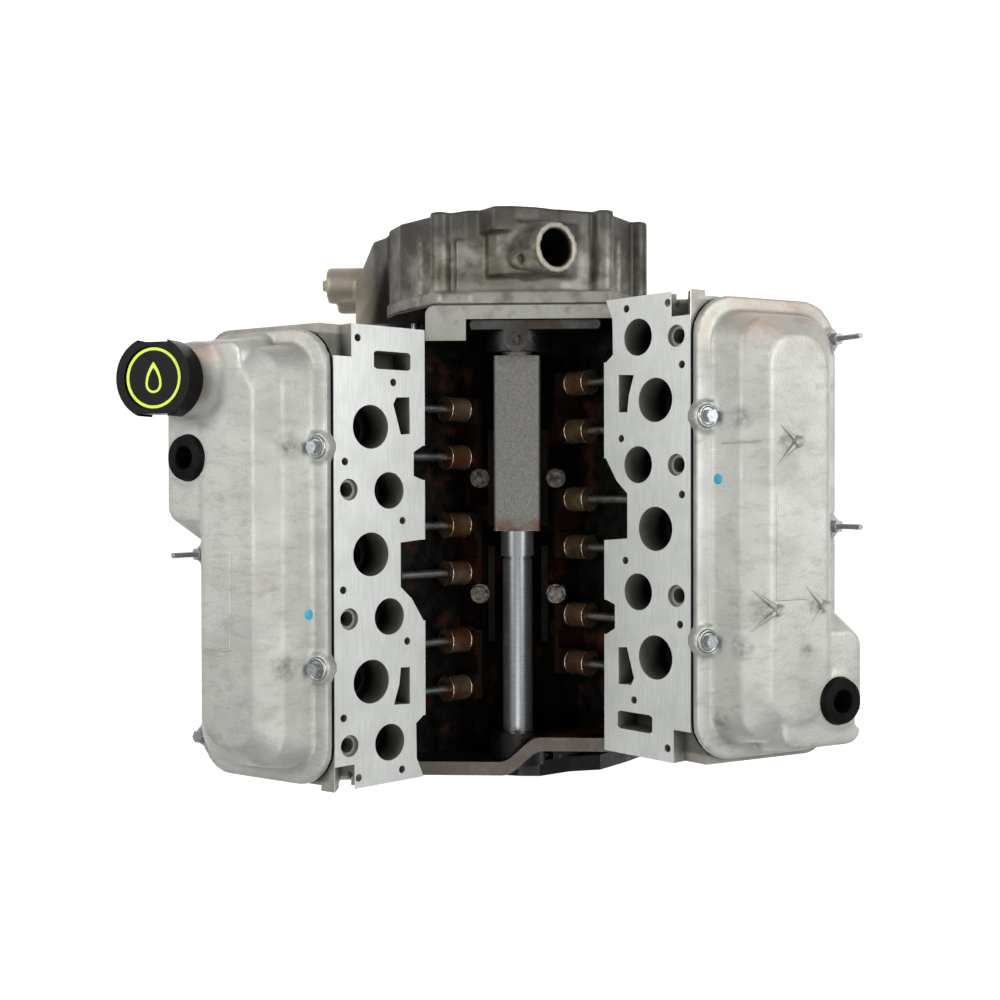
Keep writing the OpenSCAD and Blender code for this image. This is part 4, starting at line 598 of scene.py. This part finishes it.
def casting_rib(name, cover, places, radius_mm, taper=0.0):
    """A low round-backed rib along a line of pixels, thinner towards its ends by the taper."""
    points = []
    pixels_per_step = 2.5
    for (x0, y0), (x1, y1) in zip(places, places[1:]):
        steps = max(2, int(math.hypot(x1 - x0, y1 - y0) / pixels_per_step))
        for i in range(steps + 1):
            x = x0 + (x1 - x0) * i / steps
            y = y0 + (y1 - y0) * i / steps
            points.append(seen_at(cover, x, y)[0])
    line = bpy.data.curves.new(name, "CURVE")
    line.dimensions = "3D"
    line.bevel_depth = radius_mm * MM
    line.bevel_resolution = 3
    line.use_fill_caps = True
    path = line.splines.new("POLY")
    path.points.add(len(points) - 1)
    middle = (len(points) - 1) / 2
    for i, (at, point) in enumerate(zip(path.points, points)):
        at.co = (*point, 1)
        at.radius = 1 - taper * abs(i - middle) / middle
    mesh = finished_mesh(placed(name + "_line", line))
    for face in mesh.polygons:
        face.use_smooth = True
    show(name, mesh, COVER, "engine")


def casting_boss(name, cover, x, y):
    """A small drilled boss on the cover."""
    foot_r, top_r, height = 5.4, 4.5, 8
    hole_inset, hole_depth = 2.6 * MM, 2 * MM
    form = bmesh.new()
    cone(form, foot_r, top_r, height, 32)
    top = max(form.faces, key=lambda face: face.calc_center_median().z)
    bmesh.ops.inset_individual(form, faces=[top], thickness=hole_inset)
    bmesh.ops.translate(form, verts=top.verts, vec=(0, 0, -hole_depth))
    bmesh.ops.transform(form, matrix=facing(*seen_at(cover, x, y)), verts=form.verts)
    show(name, mesh_of(form, name, False), COVER, "engine")


def make_cover_details(left_cover, right_cover):
    """The brackets' footings and the panel edges cast into the covers."""
    footings = (
        ((781, 425), (797.5, 441.5), (778, 464)),
        ((752, 590), (778.6, 610), (751, 631.5)),
        ((806, 586), (824, 606), (812, 622)),
    )
    for i, places in enumerate(footings):
        casting_rib(f"footing_{i}", right_cover, places, radius_mm=2.9, taper=0.85)
        casting_boss(f"footing_boss_{i}", right_cover, *places[1])
    panel_edges = (
        ("panel_edge_right", right_cover, ((777, 495), (777, 600), (806, 598.5))),
        ("panel_edge_front", right_cover, ((722, 443), (762, 441.5))),
        ("panel_edge_left", left_cover, ((229.5, 549), (229.5, 651), (204, 649))),
    )
    for name, cover, places in panel_edges:
        casting_rib(name, cover, places, radius_mm=0.9)


def shade_and_stain_covers(left_cover, right_cover):
    """Painted shade with burnt oil beside the covers' bolts and inside the footings, and an oil
    film at their front ends.
    """
    tree = COVER.node_tree
    shader = next(node for node in tree.nodes if node.type == "BSDF_PRINCIPLED")
    place = next(node for node in tree.nodes if node.type == "TEX_COORD").outputs["Object"]
    colour = shader.inputs["Base Color"].links[0].from_socket
    shade_and_burnt_oil = (
        # Painted shade with burnt oil: dark spots beside the bolts and inside the footings.
        (left_cover, 289, 446, 13), (left_cover, 284, 668, 14), (right_cover, 741, 417, 12),
        (right_cover, 741, 648, 12), (right_cover, 806, 650, 8), (right_cover, 722, 722, 10),
        (right_cover, 786, 441, 13), (right_cover, 765, 609, 16), (right_cover, 815, 604, 10),
    )
    oil_film = ((left_cover, 206, 352, 20), (right_cover, 760, 322, 26))
    for stains, shade in ((shade_and_burnt_oil, "#6e6a62"), (oil_film, "#b39d92")):
        for cover, x, y, size_mm in stains:
            spot_mask = spot(tree, place, seen_at(cover, x, y)[0], size_mm)
            colour = blend_colours(tree, spot_mask, colour, shade)
    feed(tree, shader.inputs["Base Color"], colour)


# Small parts

def make_cap_print():
    """The cap's printed face: a ring round a plain drop."""
    face_height, thick = 20.35 * MM, 0.5 * MM
    ring_outer, ring_inner = 24.6 * MM, 22.3 * MM
    form = bmesh.new()
    for radius in (ring_outer, ring_inner):
        bmesh.ops.create_circle(form, segments=96, radius=radius)
    bmesh.ops.bridge_loops(form, edges=form.edges)
    drop_r, drop_tip, drop_below, drop_line = 7.2 * MM, 18 * MM, 5 * MM, 1.9 * MM
    for inset in (0, drop_line):
        drop = bmesh.ops.create_circle(form, segments=48, radius=drop_r - inset)["verts"]
        for vert in drop:
            if vert.co.y > 0:
                rise = vert.co.y / (drop_r - inset)
                vert.co.x *= (1 - rise ** 2) ** 0.5 if rise < 1 else 0
                vert.co.y = rise * (drop_tip - 2.4 * inset)
            vert.co.y -= drop_below
    loops = [e for e in form.edges if not e.link_faces]
    bmesh.ops.bridge_loops(form, edges=loops)
    raised = bmesh.ops.extrude_face_region(form, geom=form.faces)["geom"]
    tops = [part for part in raised if isinstance(part, bmesh.types.BMVert)]
    bmesh.ops.translate(form, verts=tops, vec=(0, 0, thick))
    turn = Matrix.Rotation(math.pi / 2, 4, "Z")
    place = facing(*filler_seat()) @ turn @ Matrix.Translation((0, 0, face_height))
    bmesh.ops.transform(form, matrix=place, verts=form.verts)
    show("cap_print", mesh_of(form, "cap_print", False), CAP_PRINT, "cap")


def make_snap_rings():
    """The bright rings round each lifter: one at its open end, one where it leaves its guide."""
    wire, radius = 0.75 * MM, 11.2 * MM
    foot_x, foot_z = 42.55, 158.4
    leaves_guide, open_end = 11.6, 33.2
    form = bmesh.new()
    places = [
        (side, head_middle(side) + bore * BORE_PITCH + beside, up)
        for side in (LEFT, RIGHT) for bore in (-1, 0, 1)
        for beside in (-LIFTER_FROM_BORE, LIFTER_FROM_BORE) for up in (leaves_guide, open_end)]
    for side, y, up in places:
        outwards = Vector((side, 0, 1)).normalized()
        turn = outwards.to_track_quat("Z", "Y").to_matrix().to_4x4()
        centre = Vector((side * foot_x, y, foot_z)) * MM + outwards * up * MM
        start, loop = circle(form, wire, 8)
        bmesh.ops.rotate(form, verts=start, matrix=Matrix.Rotation(math.pi / 2, 3, "X"))
        bmesh.ops.translate(form, verts=start, vec=(radius, 0, 0))
        bmesh.ops.spin(
            form, geom=start + loop, cent=(0, 0, 0), axis=(0, 0, 1), dvec=(0, 0, 0),
            angle=2 * math.pi, steps=48, use_merge=True)
        made = [v for v in form.verts if not v.tag]
        bmesh.ops.transform(form, matrix=Matrix.Translation(centre) @ turn, verts=made)
        for vert in made:
            vert.tag = True
    show("lifter_snap_rings", mesh_of(form, "lifter_snap_rings"), WORN, "engine")


def make_washers():
    """The dished sealing washers round the heads of the covers' inner bolts."""
    profile = ((9.8, -0.6), (9.8, 0.7), (9, 2), (8, 2.3), (7.1, 1.2))
    bolt_upwards, bolt_inwards = 365.5, 29.5
    form = bmesh.new()
    for side in (LEFT, RIGHT):
        outwards, upwards = cover_axes(side)
        for beside in (-BOLT_FROM_MIDDLE, BOLT_FROM_MIDDLE):
            along_engine = Vector((0, head_middle(side) + beside, 0))
            centre = (upwards * bolt_upwards - outwards * bolt_inwards + along_engine) * MM
            rings, points = [], []
            for radius, rise in profile:
                made, edges = circle(form, radius * MM, 48)
                bmesh.ops.translate(form, verts=made, vec=(0, 0, rise * MM))
                rings.append(edges)
                points += made
            for lower, upper in zip(rings, rings[1:]):
                bmesh.ops.bridge_loops(form, edges=lower + upper)
            bmesh.ops.transform(form, matrix=facing(centre, upwards), verts=points)
    show("sealing_washers", mesh_of(form, "sealing_washers"), ZINC, "engine")


# Stage

def make_camera():
    """The photograph's camera: nearly straight above the valley, 1.4 m over the crank."""
    data = bpy.data.cameras.new("camera")
    data.sensor_width = 36
    data.lens = data.sensor_width * FOCAL_PX / PHOTO_PX
    data.clip_start = 0.05
    camera = placed("camera", data)
    camera.location = CAMERA_AT
    camera.rotation_euler = CAMERA_TURN
    bpy.context.scene.camera = camera


def make_lamp(name, place, size, watts):
    """A square soft box at a place, aimed at the engine's middle."""
    data = bpy.data.lights.new(name, "AREA")
    data.size = size
    data.energy = watts
    lamp = placed(name, data)
    lamp.location = place
    aim = Vector((0, 0.26, 0.2)) - Vector(place)
    lamp.rotation_euler = aim.to_track_quat("-Z", "Y").to_euler()


def make_floor():
    """A plain white floor under the pan that keeps the engine's shadow."""
    form = bmesh.new()
    bmesh.ops.create_grid(form, x_segments=1, y_segments=1, size=6)
    bmesh.ops.translate(form, verts=form.verts, vec=(0, 0.25, cad_low.z - 0.5 * MM))
    mesh = bpy.data.meshes.new("floor")
    form.to_mesh(mesh)
    form.free()
    floor = placed("floor", mesh)
    material, tree, shader = new_material("white_floor")[:3]
    rays = add(tree, "LightPath").outputs
    seen = arithmetic(tree, "MAXIMUM", rays["Is Camera Ray"], rays["Is Glossy Ray"])
    surface(tree, shader, "#f2f2f0", 0.0, 0.9)
    feed(tree, shader.inputs["Emission Strength"], times(tree, seen, 0.35))
    feed(tree, shader.inputs["Emission Color"], "#ffffff")
    mesh.materials.append(material)


def make_world():
    """An even white surround."""
    world = bpy.data.worlds.new("surround")
    bpy.context.scene.world = world
    world.use_nodes = True
    surround = world.node_tree.nodes["Background"]
    surround.inputs["Color"].default_value = linear("#ffffff")
    surround.inputs["Strength"].default_value = 0.45


make_camera()
make_world()
make_floor()
make_lamp("left_box", (-1.1, 0.65, 1.3), size=0.9, watts=14.5)
make_lamp("right_box", (1.15, 0.6, 1.3), size=0.9, watts=18.5)
make_lamp("top_box", (0.1, -0.5, 1.9), size=0.8, watts=9)
finish_nodes()
left_cover = cast_copy(
    "valve_cover_left", COVER, cell_mm=1.8, rounds=6, added=filler_wall())
right_cover = cast_copy("valve_cover_right", COVER, cell_mm=1.8, rounds=6)
cast_copy("front_cover", FRONT, cell_mm=2.0, rounds=3)
paint_dot("paint_dot_left", left_cover, 309, 614.7)
paint_dot("paint_dot_right", right_cover, 718, 479)
make_cover_details(left_cover, right_cover)
shade_and_stain_covers(left_cover, right_cover)
make_cap_print()
make_snap_rings()
make_washers()

bpy.context.scene.view_settings.view_transform = "Standard"
